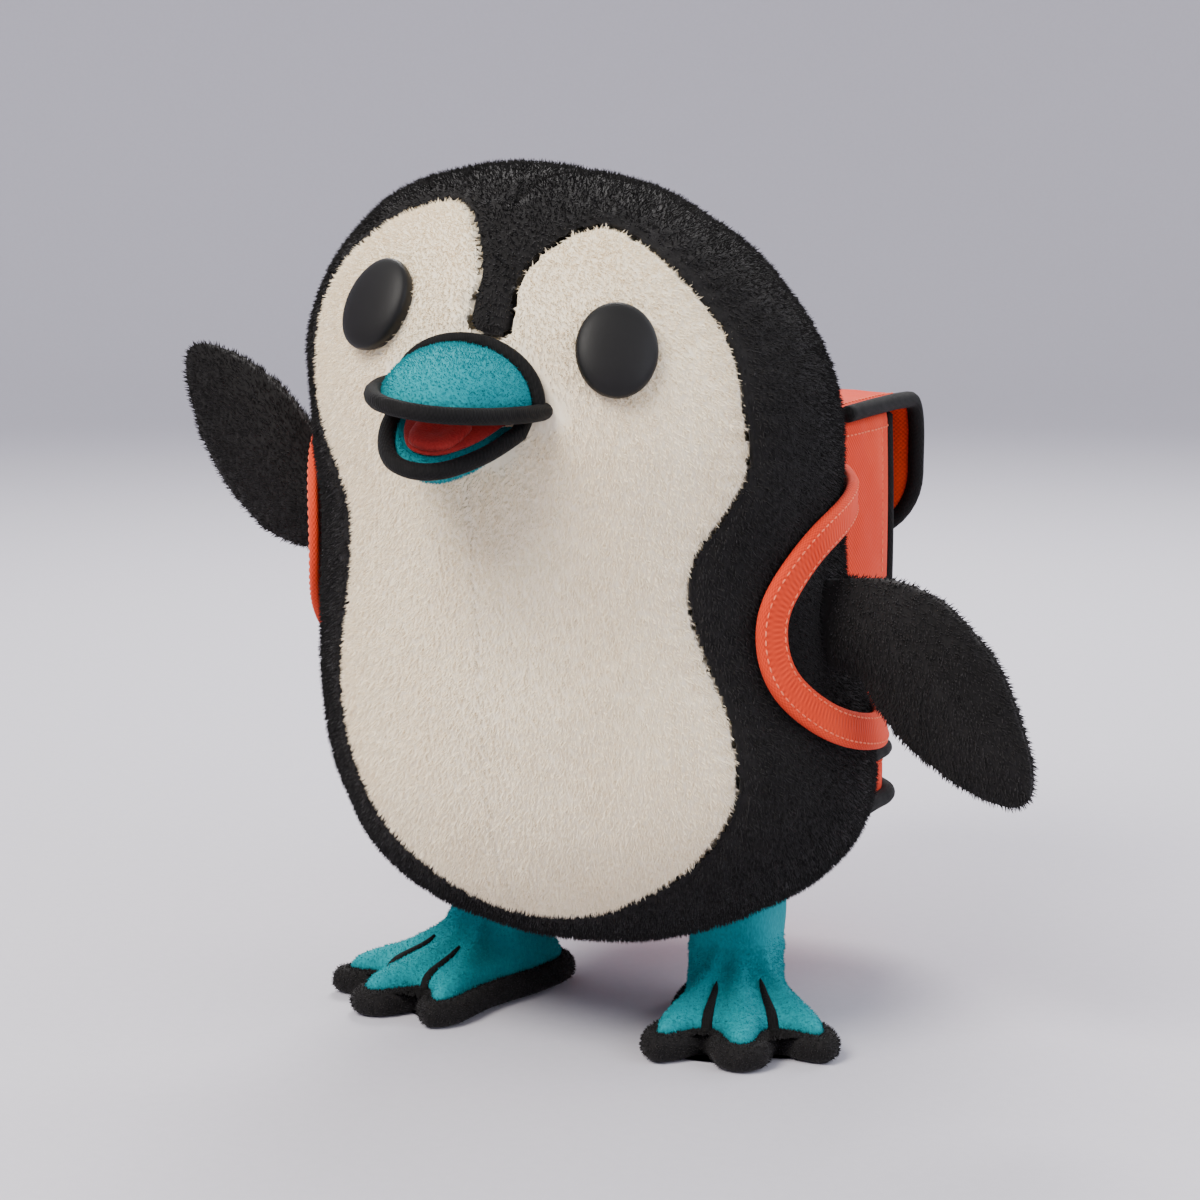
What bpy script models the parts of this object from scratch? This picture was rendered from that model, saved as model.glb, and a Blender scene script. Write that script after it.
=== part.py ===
"""A plush penguin with a small rucksack, as the separate pieces that it is sewn and assembled from.

Metres, +Z up. The penguin faces -Y, so its left side is at +X. The origin is on the floor,
in the middle of the box that holds the whole toy.
"""

import math

import bmesh
import bpy
from mathutils import Matrix, Vector

# ---------------------------------------------------------------- driving sizes
GAP = 0.0003  # between pieces that touch
FABRIC = 0.003  # plush cloth with its pile
THIN_FABRIC = 0.0024

TORSO_BOTTOM = 0.029
TORSO_TOP = 0.295
BELLY_HEIGHT = 0.105
HEAD_HEIGHT = 0.215
BELLY_HALF_WIDTH = 0.098
HEAD_HALF_WIDTH = 0.093
DEPTH_RATIO = 0.93
NECK_PINCH = 0.003
BASE_SEAM_HEIGHT = 0.043

HEAD_ROLL = math.radians(9)  # the head and shoulders tip towards the penguin's left
ROLL_FROM, ROLL_TO = 0.04, 0.16
LEAN_FROM, LEAN_RISE = 0.04, 0.20
HIP_SETBACK, HEAD_ADVANCE, HEAD_SHIFT = 0.008, 0.014, 0.003

FACE_TURN = math.radians(6)  # the face looks a little towards the penguin's left
EYE_SPREAD = math.radians(28)
EYE_HEIGHT = 0.246
EYE_HALF_WIDTH, EYE_HALF_HEIGHT, EYE_DOME = 0.013, 0.0155, 0.006

BEAK_TURN = math.radians(3)
BEAK_HEIGHT = 0.224
BEAK_SPREAD = 0.0225
BEAK_LENGTH = 0.040
JAW_OPEN = math.radians(24)
JAW_LENGTH = 0.027
JAW_SPREAD = 0.0185
PIPING = 0.0026

SHOULDER_HEIGHT = 0.160
WING_ROOT = 0.020
WING_LENGTH = 0.072
WING_THICKNESS = 0.0085
WING_STANDOFF = 0.0212  # hinge line to the body's side
RAISED, LOWERED = math.radians(50), math.radians(-50)

HIP_X, HIP_Z = 0.047, 0.040
HIP_RADIUS = 0.016
HIP_HALF_WIDTH = 0.015
TOE_OUT = math.radians(25)
FOOT_ROLL = 0.005  # radius of the black roll round each foot
HIP_CLEARANCE = 0.0007

BAG_BOTTOM, BAG_RIM = 0.052, 0.203
BAG_HALF_WIDTH, BAG_HALF_DEPTH, BAG_CENTRE_Y = 0.058, 0.046, 0.100
BAG_CORNER = 0.026
BAG_CLOTH = 0.0025
FLAP_THICKNESS = 0.004
FLAP_HALF_WIDTH = 0.057
FLAP_DROP = 0.050
BAG_PIPING = 0.003
STRAP_HALF_WIDTH, STRAP_THICKNESS = 0.006, 0.0036

BLACK, CREAM, TEAL = (0.013, 0.012, 0.012), (0.88, 0.79, 0.66), (0.008, 0.26, 0.32)
ORANGE, RED, WHITE = (0.86, 0.10, 0.045), (0.42, 0.03, 0.03), (0.8, 0.8, 0.78)

for old in list(bpy.data.objects):
    bpy.data.objects.remove(old)


# ---------------------------------------------------------------- materials
def fabric(name, colour, roughness=0.9):
    found = bpy.data.materials.get(name)
    if found:
        return found
    made = bpy.data.materials.new(name)
    made.use_nodes = True
    shader = made.node_tree.nodes["Principled BSDF"]
    shader.inputs["Base Color"].default_value = (*colour, 1)
    shader.inputs["Roughness"].default_value = roughness
    return made


BLACK_PLUSH = fabric("black_plush", BLACK)
CREAM_PLUSH = fabric("cream_plush", CREAM)
TEAL_FLEECE = fabric("teal_fleece", TEAL)
ORANGE_CANVAS = fabric("orange_canvas", ORANGE)
RED_FELT = fabric("red_felt", RED)
BLACK_CORD = fabric("black_cord", BLACK)
FIBREFILL = fabric("fibrefill", WHITE)
LABEL_TAPE = fabric("label_tape", WHITE)
BLACK_PLASTIC = fabric("black_plastic", BLACK, 0.25)
WHITE_PLASTIC = fabric("white_plastic", WHITE, 0.4)


# ---------------------------------------------------------------- mesh helpers
def smoothstep(t):
    t = min(1.0, max(0.0, t))
    return t * t * (3 - 2 * t)


def mesh_object(name, points, faces, material):
    mesh = bpy.data.meshes.new(name)
    mesh.from_pydata([tuple(p) for p in points], [], faces)
    work = bmesh.new()
    work.from_mesh(mesh)
    bmesh.ops.recalc_face_normals(work, faces=work.faces)
    if work.calc_volume(signed=True) < 0:
        bmesh.ops.reverse_faces(work, faces=work.faces)
    work.to_mesh(mesh)
    work.free()
    mesh.shade_smooth()
    mesh.materials.append(material)
    made = bpy.data.objects.new(name, mesh)
    bpy.context.scene.collection.objects.link(made)
    return made


def loft(name, rings, material, first=None, last=None, wrap=False):
    """Joins rings of equal count. first and last are end points; without one, the end is a flat cap."""
    count = len(rings[0])
    points = [p for ring in rings for p in ring]
    faces = []
    for level in range(len(rings) - (0 if wrap else 1)):
        low, high = level * count, (level + 1) % len(rings) * count
        for i in range(count):
            j = (i + 1) % count
            faces.append((low + i, low + j, high + j, high + i))
    if wrap:
        return mesh_object(name, points, faces, material)
    for end, start in ((first, 0), (last, (len(rings) - 1) * count)):
        if end is None:
            faces.append(tuple(range(start, start + count)))
            continue
        points.append(end)
        tip = len(points) - 1
        faces += [(start + i, start + (i + 1) % count, tip) for i in range(count)]
    return mesh_object(name, points, faces, material)


def helper(obj):
    obj.hide_render = True
    obj.display_type = "WIRE"
    return obj


def boolean(obj, other, operation="DIFFERENCE"):
    modifier = obj.modifiers.new(other.name, "BOOLEAN")
    modifier.operation = operation
    modifier.object = other
    modifier.solver = "EXACT"
    helper(other)


def frozen(obj):
    """Replaces the mesh by what its modifiers make of it."""
    bpy.context.view_layer.update()
    graph = bpy.context.evaluated_depsgraph_get()
    obj.data = bpy.data.meshes.new_from_object(obj.evaluated_get(graph))
    obj.modifiers.clear()
    return obj


def closed_spline(control, per_span):
    """Points of a closed Catmull-Rom curve through 2-D control points."""
    count, out = len(control), []
    for i in range(count):
        p0, p1, p2, p3 = (Vector(control[(i + k) % count]) for k in (-1, 0, 1, 2))
        for step in range(per_span):
            t = step / per_span
            out.append(
                0.5 * (2 * p1 + (p2 - p0) * t + (2 * p0 - 5 * p1 + 4 * p2 - p3) * t**2
                       + (3 * p1 - p0 - 3 * p2 + p3) * t**3)
            )
    return out


def open_spline(control, per_span):
    """Points of an open Catmull-Rom curve through control points."""
    ends = [2 * Vector(control[0]) - Vector(control[1])]
    ends += [Vector(c) for c in control] + [2 * Vector(control[-1]) - Vector(control[-2])]
    out = []
    for p0, p1, p2, p3 in zip(ends, ends[1:], ends[2:], ends[3:]):
        for step in range(per_span):
            t = step / per_span
            out.append(
                0.5 * (2 * p1 + (p2 - p0) * t + (2 * p0 - 5 * p1 + 4 * p2 - p3) * t**2
                       + (3 * p1 - p0 - 3 * p2 + p3) * t**3)
            )
    return out + [Vector(control[-1])]


def inset_outline(outline, distance):
    """Moves each point of an anticlockwise 2-D outline inwards along its normal."""
    count, out = len(outline), []
    for i in range(count):
        along = (outline[(i + 1) % count] - outline[i - 1]).normalized()
        out.append(outline[i] + Vector((-along.y, along.x)) * distance)
    return out


def tube(name, points, radius, material, cyclic=False):
    curve = bpy.data.curves.new(name, "CURVE")
    curve.dimensions = "3D"
    curve.bevel_depth = radius
    curve.bevel_resolution = 2
    curve.use_fill_caps = True
    spline = curve.splines.new("POLY")
    spline.points.add(len(points) - 1)
    spline.use_cyclic_u = cyclic
    for target, point in zip(spline.points, points):
        target.co = (*point, 1)
    curve.materials.append(material)
    made = bpy.data.objects.new(name, curve)
    bpy.context.scene.collection.objects.link(made)
    return made


def tube_mesh(name, points, radius, material, cyclic=False):
    """A tube as a mesh, so that it can be cut."""
    made = tube(name, points, radius, material, cyclic)
    curve = made.data
    mesh_made = frozen_curve(made)
    bpy.data.objects.remove(made)
    bpy.data.curves.remove(curve)
    mesh_made.name = name
    return mesh_made


def frozen_curve(obj):
    bpy.context.view_layer.update()
    graph = bpy.context.evaluated_depsgraph_get()
    mesh = bpy.data.meshes.new_from_object(obj.evaluated_get(graph))
    work = bmesh.new()
    work.from_mesh(mesh)
    bmesh.ops.remove_doubles(work, verts=work.verts, dist=0.00001)
    bmesh.ops.recalc_face_normals(work, faces=work.faces)
    work.to_mesh(mesh)
    work.free()
    made = bpy.data.objects.new(obj.name + "_mesh", mesh)
    bpy.context.scene.collection.objects.link(made)
    return made


def disc(name, centre, axis, radius, thickness, material, sides=20, bevel=0.0):
    """A round plate whose near face is at centre and whose body runs along axis."""
    along = Vector(axis).normalized()
    side = along.orthogonal().normalized()
    other = along.cross(side)
    levels = [(radius, 0), (radius, thickness)]
    if bevel:
        levels = [(radius - bevel, 0), (radius, bevel), (radius, thickness - bevel), (radius - bevel, thickness)]
    rings = []
    for r, h in levels:
        turn = [2 * math.pi * i / sides for i in range(sides)]
        rings.append([Vector(centre) + along * h + (side * math.cos(a) + other * math.sin(a)) * r for a in turn])
    return loft(name, rings, material)


# ---------------------------------------------------------------- the torso's surface
LOWER_POWER, UPPER_POWER = 2.3, 2.1


def half_width(z, inset=0.0):
    belly, head = BELLY_HALF_WIDTH - inset, HEAD_HALF_WIDTH - inset
    if z < BELLY_HEIGHT:
        drop = min(1.0, (BELLY_HEIGHT - z) / (BELLY_HEIGHT - TORSO_BOTTOM - inset))
        return belly * (1 - drop**LOWER_POWER) ** (1 / LOWER_POWER)
    if z > HEAD_HEIGHT:
        rise = min(1.0, (z - HEAD_HEIGHT) / (TORSO_TOP - inset - HEAD_HEIGHT))
        return head * (1 - rise**UPPER_POWER) ** (1 / UPPER_POWER)
    share = (z - BELLY_HEIGHT) / (HEAD_HEIGHT - BELLY_HEIGHT)
    return belly + (head - belly) * smoothstep(share) - NECK_PINCH * math.sin(math.pi * share) ** 2


def straight_point(angle, z, inset=0.0):
    """A point of the torso before it is bent. Angle 0 is the front and +90 degrees the left side."""
    w = half_width(z, inset)
    return Vector((w * math.sin(angle), -DEPTH_RATIO * w * math.cos(angle), z))


def bent(p):
    """Where a point of the straight torso goes when the toy leans and tips its head."""
    share = smoothstep((p[2] - ROLL_FROM) / (ROLL_TO - ROLL_FROM))
    roll = HEAD_ROLL * share
    lean = smoothstep((p[2] - LEAN_FROM) / LEAN_RISE)
    return Vector((
        p[0] * math.cos(roll) - HEAD_SHIFT * share,
        p[1] + HIP_SETBACK - (HIP_SETBACK + HEAD_ADVANCE) * lean,
        p[2] - p[0] * math.sin(roll),
    ))


def bend(obj):
    for v in obj.data.vertices:
        v.co = bent(v.co)
    obj.data.update()
    return obj


def surface_frame(angle, z):
    """(point, outward normal) of the bent torso."""
    step = 0.002
    point = bent(straight_point(angle, z))
    across = bent(straight_point(angle + step / BELLY_HALF_WIDTH, z)) - point
    up = bent(straight_point(angle, z + step)) - point
    return point, across.cross(up).normalized()


def torso_solid(name, inset, material, segments=28, cap_steps=5, side_steps=5):
    bottom, top = TORSO_BOTTOM + inset, TORSO_TOP - inset
    heights = []
    for i in range(1, cap_steps + 1):
        drop = math.cos(math.pi / 2 * i / cap_steps) ** (2 / LOWER_POWER) if i < cap_steps else 0.0
        heights.append(BELLY_HEIGHT - drop * (BELLY_HEIGHT - bottom))
    heights += [BELLY_HEIGHT + (HEAD_HEIGHT - BELLY_HEIGHT) * i / side_steps for i in range(1, side_steps)]
    for i in range(cap_steps):
        rise = math.sin(math.pi / 2 * i / cap_steps) ** (2 / UPPER_POWER)
        heights.append(HEAD_HEIGHT + rise * (top - HEAD_HEIGHT))
    turn = [2 * math.pi * i / segments for i in range(segments)]
    rings = [[straight_point(a, z, inset) for a in turn] for z in heights]
    return loft(name, rings, material, Vector((0, 0, bottom)), Vector((0, 0, top)))


# ---------------------------------------------------------------- torso panels
# Half of the cream patch: height, and degrees either side of the face's middle.
PATCH = [
    (0.246, 4), (0.262, 5), (0.273, 11), (0.280, 22), (0.280, 35), (0.269, 48), (0.247, 55),
    (0.217, 55), (0.200, 50), (0.186, 43), (0.170, 40), (0.150, 42.5), (0.123, 46), (0.096, 44),
    (0.073, 36), (0.058, 25), (0.049, 11),
]


def patch_outline(grow):
    """The cream patch seen from the front as (x, z), grown by a distance."""
    def seen(z, degrees):
        return half_width(z) * math.sin(FACE_TURN + math.radians(degrees)), z

    control = [seen(z, a) for z, a in PATCH] + [seen(z, -a) for z, a in reversed(PATCH)]
    outline = closed_spline(control, 2)
    area = sum(a.x * b.y - a.y * b.x for a, b in zip(outline, outline[1:] + outline[:1]))
    return inset_outline(outline, -grow if area > 0 else grow)


def patch_prism(name, grow):
    outline = patch_outline(grow)
    reach, middle = -0.15, -0.008
    rings = [[Vector((p.x, y, p.y)) for p in outline] for y in (reach, middle)]
    return loft(name, rings, CREAM_PLUSH)


def slab(name, low, high):
    x0, y0, z0 = low
    x1, y1, z1 = high
    rings = [[Vector((x, y, z)) for x, y in ((x0, y0), (x1, y0), (x1, y1), (x0, y1))] for z in (z0, z1)]
    return loft(name, rings, BLACK_PLUSH)


def hollow_torso(name, material):
    """The whole skin: outer and inner walls as one object."""
    outer = torso_solid(name, 0.0, material)
    boolean(outer, torso_solid(name + "_inside", FABRIC, material))
    return outer


FAR = 0.2
inside_patch = patch_prism("inside_patch", 0.0)
around_patch = patch_prism("around_patch", GAP)

torso_front = hollow_torso("torso_front", CREAM_PLUSH)
boolean(torso_front, inside_patch, "INTERSECT")
bend(frozen(torso_front))

sides = {"left": (GAP / 2, FAR), "right": (-FAR, -GAP / 2)}
for side, (x0, x1) in sides.items():
    panel = hollow_torso("torso_back_" + side, BLACK_PLUSH)
    boolean(panel, around_patch)
    half = slab("half_" + side, (x0, -FAR, BASE_SEAM_HEIGHT + GAP), (x1, FAR, 2 * FAR))
    boolean(panel, half, "INTERSECT")
    bend(frozen(panel))

torso_base = hollow_torso("torso_base", BLACK_PLUSH)
boolean(torso_base, slab("base_half", (-FAR, -FAR, -FAR), (FAR, FAR, BASE_SEAM_HEIGHT)), "INTERSECT")
bend(frozen(torso_base))

torso_stuffing = bend(torso_solid("torso_stuffing", FABRIC + GAP, FIBREFILL))

# the weight: a pouch of pellets in the middle of the base
BEAD_RADIUS, BEAD_LOW, BEAD_HIGH = 0.022, 0.0335, 0.088
bead_bag = disc("bead_bag", (0, HIP_SETBACK, BEAD_LOW), (0, 0, 1), BEAD_RADIUS, BEAD_HIGH - BEAD_LOW,
                LABEL_TAPE, 20, 0.008)
bead_room = disc("bead_room", (0, HIP_SETBACK, 0.02), (0, 0, 1), BEAD_RADIUS + GAP, BEAD_HIGH + GAP - 0.02,
                 FIBREFILL, 20)
boolean(torso_stuffing, bead_room)


# ---------------------------------------------------------------- eyes
def make_eye(side, angle):
    point, normal = surface_frame(FACE_TURN + angle, EYE_HEIGHT)
    up = Vector((math.sin(HEAD_ROLL), 0, math.cos(HEAD_ROLL)))
    across = up.cross(normal).normalized()
    up = normal.cross(across).normalized()
    shank, shank_length, washer = 0.0025, 0.011, 0.0075
    washer_depth, washer_thickness = FABRIC + 0.0024, 0.002
    steps = [(shank, -shank_length), (shank, 0.0006)]
    steps += [(0.93, 0.0006), (1.0, 0.0018)]
    steps += [(math.cos(t), 0.0018 + (EYE_DOME - 0.0018) * math.sin(t)) for t in (0.45, 0.9, 1.25)]
    rings = []
    for scale, height in steps:
        ring = []
        for i in range(20):
            a = 2 * math.pi * i / 20
            if scale < 0.01:
                spot = across * math.cos(a) * scale + up * math.sin(a) * scale
            else:
                spot = across * math.cos(a) * scale * EYE_HALF_WIDTH + up * math.sin(a) * scale * EYE_HALF_HEIGHT
            ring.append(point + normal * height + spot)
        rings.append(ring)
    loft("eye_" + side, rings, BLACK_PLASTIC, None, point + normal * EYE_DOME)
    inner = point - normal * washer_depth
    ring_plate = disc("eye_washer_" + side, inner, -normal, washer, washer_thickness, WHITE_PLASTIC)
    stem_hole = disc("eye_hole_" + side, point + normal * 0.01, -normal, shank + GAP,
                     0.01 + shank_length + 2 * GAP, BLACK_PLASTIC)
    boolean(ring_plate, stem_hole)
    boolean(torso_front, stem_hole)
    boolean(torso_stuffing, disc("eye_seat_" + side, point + normal * 0.01, -normal, washer + GAP,
                                 0.01 + washer_depth + washer_thickness + GAP, BLACK_PLASTIC))
    boolean(torso_stuffing, stem_hole)


make_eye("left", EYE_SPREAD)
make_eye("right", -EYE_SPREAD)

# ---------------------------------------------------------------- beak
# Beak pieces are drawn lying flat: x across, y towards the tip, z up. They are then turned and placed.
face_point, _ = surface_frame(BEAK_TURN, BEAK_HEIGHT)
beak_frame = (
    Matrix.Translation(face_point)
    @ Matrix.Rotation(HEAD_ROLL, 4, "Y")
    @ Matrix.Rotation(math.pi + BEAK_TURN, 4, "Z")
)
face_cutter = helper(bend(torso_solid("face_cutter", -GAP, BLACK_PLUSH)))
jaw_cutter = helper(bend(torso_solid("jaw_cutter", -0.003, BLACK_PLUSH)))
JAW_PIVOT = Vector((0, 0.006, -0.0035))
jaw_frame = (
    beak_frame @ Matrix.Translation(JAW_PIVOT) @ Matrix.Rotation(-JAW_OPEN, 4, "X") @ Matrix.Translation(-JAW_PIVOT)
)


def beak_outline(spread, length, back=-0.016):
    """Plan of a beak half: square behind the face, tapering to a round tip."""
    control = [
        (0.0, length), (0.42 * spread, 0.90 * length), (0.80 * spread, 0.55 * length), (spread, 0.12 * length),
        (spread, 0.6 * back), (0.9 * spread, back), (0.0, back),
    ]
    control += [(-x, y) for x, y in reversed(control[1:-1])]
    return closed_spline(control, 2)


def pad(name, outline, levels, centre, material, frame):
    """A padded shape: (scale towards centre, height) levels, closed by a point."""
    rings = [[frame @ Vector((*(centre + (p - centre) * s), h)) for p in outline] for s, h in levels[:-1]]
    tip = frame @ Vector((centre.x, centre.y, levels[-1][1]))
    return loft(name, rings, material, None, tip)


upper_outline = beak_outline(BEAK_SPREAD, BEAK_LENGTH)
upper_levels = [(1.0, 0.0), (1.0, 0.0015), (0.93, 0.0065), (0.75, 0.0115), (0.45, 0.0155), (0, 0.0175)]
beak_upper = pad("beak_upper", upper_outline, upper_levels, Vector((0, 0.004)), TEAL_FLEECE, beak_frame)
boolean(beak_upper, face_cutter)

jaw_outline = beak_outline(JAW_SPREAD, JAW_LENGTH + 0.006, 0.0)
jaw_levels = [(1.0, -0.0065), (1.0, -0.008), (0.93, -0.0125), (0.72, -0.0165), (0.42, -0.019), (0, -0.0203)]
beak_lower = pad("beak_lower", jaw_outline, jaw_levels, Vector((0, 0.010)), TEAL_FLEECE, jaw_frame)
boolean(beak_lower, jaw_cutter)


def front_rim(outline, grow, height, frame, behind):
    """The rim of a beak outline from cheek to cheek, grown outwards."""
    grown = inset_outline(outline, grow)
    rim = [p for p in grown if p.y > behind]
    rim.sort(key=lambda p: math.atan2(p.x, p.y - behind + 0.002))
    return [frame @ Vector((p.x, p.y, height)) for p in rim]


piping_out = PIPING + GAP
upper_piping = tube_mesh("beak_upper_piping", front_rim(upper_outline, piping_out, 0.0008, beak_frame, -0.012),
                         PIPING, BLACK_CORD)
boolean(upper_piping, face_cutter)
lower_piping = tube_mesh("beak_lower_piping", front_rim(jaw_outline, piping_out, -0.0072, jaw_frame, 0.002),
                         PIPING, BLACK_CORD)
boolean(lower_piping, jaw_cutter)

def lining(name, outline, scale, low, high, frame, back):
    """Thin felt on a mouth face, kept clear of the cheek."""
    shape = [Vector((p.x * scale, max(p.y * scale, back))) for p in outline if p.y > back - 0.004]
    rings = [[frame @ Vector((p.x, p.y, h)) for p in shape] for h in (low, high)]
    return loft(name, rings, RED_FELT)


lining("mouth_lining_upper", upper_outline, 0.84, -0.0013, -GAP, beak_frame, 0.009)
lining("mouth_lining_lower", jaw_outline, 0.84, -0.0062, -0.0052, jaw_frame, 0.010)

TONGUE_RADIUS, TONGUE_Y = 0.0085, 0.0185
tongue_turn = [2 * math.pi * i / 16 for i in range(16)]
tongue_outline = [Vector((TONGUE_RADIUS * math.sin(a), TONGUE_Y + TONGUE_RADIUS * math.cos(a))) for a in tongue_turn]
tongue_levels = [(1.0, -0.0049), (1.0, -0.0038), (0.75, -0.0028), (0, -0.0024)]
pad("tongue", tongue_outline, tongue_levels, Vector((0, TONGUE_Y)), RED_FELT, jaw_frame)

# ---------------------------------------------------------------- wings
# A wing is drawn flat: along its length from the hinge line, and across towards its upper edge.
WING_OUTLINE = closed_spline(
    [
        (-WING_ROOT, 0), (-0.0145, 0.0135), (0.001, 0.0200), (0.022, 0.0225), (0.043, 0.0200), (0.061, 0.0135),
        (WING_LENGTH, 0.003), (0.067, -0.008), (0.051, -0.0185), (0.028, -0.0235), (0.003, -0.0205),
        (-0.0145, -0.0135),
    ], 2)
WING_OUTLINE.reverse()
WING_MIDDLE = Vector((0.022, 0))


def wing_levels(thickness):
    """(scale, half thickness) from the middle of a face to the seam."""
    return [(0.45, 0.93 * thickness), (0.75, 0.70 * thickness), (0.93, 0.38 * thickness)]


def make_wing(side, rest_angle):
    out = 1 if side == "left" else -1
    angle = out * math.pi / 2
    shoulder = bent(straight_point(angle, SHOULDER_HEIGHT))
    hinge = shoulder + Vector((out * WING_STANDOFF, 0, 0))
    along = Vector((out * math.cos(rest_angle), 0, math.sin(rest_angle)))
    across = Vector((-out * math.sin(rest_angle), 0, math.cos(rest_angle)))

    def place(p, y):
        return hinge + along * p.x + across * p.y + Vector((0, y, 0))

    def ring(outline, scale, y):
        return [place(WING_MIDDLE + (p - WING_MIDDLE) * scale, y) for p in outline]

    area = sum(a.x * b.y - a.y * b.x for a, b in zip(WING_OUTLINE, WING_OUTLINE[1:] + WING_OUTLINE[:1]))
    turn = 1 if area > 0 else -1
    inner = inset_outline(WING_OUTLINE, turn * THIN_FABRIC)
    core = inset_outline(WING_OUTLINE, turn * (THIN_FABRIC + GAP))
    hollow = WING_THICKNESS - THIN_FABRIC
    for face, sign in (("front", -1), ("back", 1)):
        rings = [ring(WING_OUTLINE, s, sign * y) for s, y in wing_levels(WING_THICKNESS)]
        rings += [ring(WING_OUTLINE, 1, sign * GAP / 2), ring(inner, 1, sign * GAP / 2)]
        rings += [ring(inner, s, sign * y) for s, y in reversed(wing_levels(hollow))]
        loft("wing_%s_%s" % (side, face), rings, BLACK_PLUSH, place(WING_MIDDLE, sign * WING_THICKNESS),
             place(WING_MIDDLE, sign * hollow))
    fill = hollow - GAP
    rings = [ring(core, s, -y) for s, y in wing_levels(fill)] + [ring(core, 1, 0)]
    rings += [ring(core, s, y) for s, y in reversed(wing_levels(fill))]
    loft("wing_%s_stuffing" % side, rings, FIBREFILL, place(WING_MIDDLE, -fill), place(WING_MIDDLE, fill))
    return hinge


wing_hinges = {"left": make_wing("left", LOWERED), "right": make_wing("right", RAISED)}

# ---------------------------------------------------------------- legs and feet
# Half of a foot from above: distance ahead of the heel's middle, and out to one side.
FOOT_HALF = [(0.055, 0.0), (0.050, 0.0085), (0.037, 0.0120), (0.042, 0.0190), (0.045, 0.0290), (0.034, 0.0330),
             (0.012, 0.0250), (-0.014, 0.0205), (-0.032, 0.0135), (-0.038, 0.0)]
LEG_AHEAD = -0.008  # where the leg stands on the foot
HIP_Y = 0.012
SHANK_HALF_DEPTH = 0.0130
PAD_TOP = 0.0082
CROWN_INSET = 0.0055
DRUM_POWER = 5


def foot_outline(out, per_span):
    """The foot's outline on the floor, turned out, anticlockwise. out is 1 for the left foot and -1 for the right."""
    control = FOOT_HALF + [(u, -v) for u, v in reversed(FOOT_HALF[1:-1])]
    ahead = Vector((math.sin(TOE_OUT), -math.cos(TOE_OUT)))
    aside = Vector((-ahead.y, ahead.x))
    centre = Vector((HIP_X, HIP_Y))
    outline = [centre + ahead * (p.x - LEG_AHEAD) + aside * p.y for p in closed_spline(control, per_span)]
    return outline if out > 0 else [Vector((-p.x, p.y)) for p in reversed(outline)]


def reach_at(polygon, centre, d):
    """How far from centre the polygon is in direction d."""
    best = 0.0
    for a, b in zip(polygon, polygon[1:] + polygon[:1]):
        along, start = b - a, a - centre
        cross = d.x * along.y - d.y * along.x
        if abs(cross) < 1e-12:
            continue
        t = (start.x * along.y - start.y * along.x) / cross
        share = (start.x * d.y - start.y * d.x) / cross
        if -1e-6 <= share <= 1 + 1e-6:
            best = max(best, t)
    return best


def leg_directions(out):
    """Directions round the leg: every toe tip and notch, and others between."""
    turns = [math.atan2(p.y - HIP_Y, p.x - HIP_X) % (2 * math.pi) for p in foot_outline(1, 1)]
    for i in range(24):
        a = 2 * math.pi * i / 24
        if all(abs((a - b + math.pi) % (2 * math.pi) - math.pi) > 0.11 for b in turns):
            turns.append(a)
    return [Vector((out * math.cos(a), math.sin(a))) for a in sorted(turns)]


def leg_rings(out, inset, bottom, shift=0.0):
    """Rings from the underside of the foot's crown up over the hip drum. shift moves the inner side outwards."""
    centre = Vector((out * HIP_X, HIP_Y))
    core = Vector((out * (HIP_X + shift), HIP_Y))
    polygon = inset_outline(foot_outline(out, 3), CROWN_INSET)
    outline = [centre + d * (reach_at(polygon, centre, d) - 1.6 * inset) for d in leg_directions(out)]
    half_x = HIP_HALF_WIDTH - inset - shift

    def leg_point(q, half_y):
        d = (q - core).normalized()
        radius = (abs(d.x / half_x) ** DRUM_POWER + abs(d.y / half_y) ** DRUM_POWER) ** (-1 / DRUM_POWER)
        return core + d * radius

    rings = []
    edge = max(bottom + 0.0004, 0.0105 - inset / 2)
    for share, z in ((1.0, bottom), (1.0, edge), (0.93, 0.0129 - inset * 0.8),
                     (0.6, 0.0155 - inset), (0.22, 0.0185 - inset)):
        shank = SHANK_HALF_DEPTH - inset
        rings.append([(*(leg_point(q, shank).lerp(q, share)), z) for q in outline])
    radius = HIP_RADIUS - inset
    for turn in (-46, -20, 5, 30, 55, 78):
        a = math.radians(turn)
        half_y = max(SHANK_HALF_DEPTH - inset, radius * math.cos(a)) if turn < 0 else radius * math.cos(a)
        z = HIP_Z + radius * math.sin(a)
        rings.append([(*leg_point(q, half_y), z) for q in outline])
    return [[Vector(p) for p in ring] for ring in rings]


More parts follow.
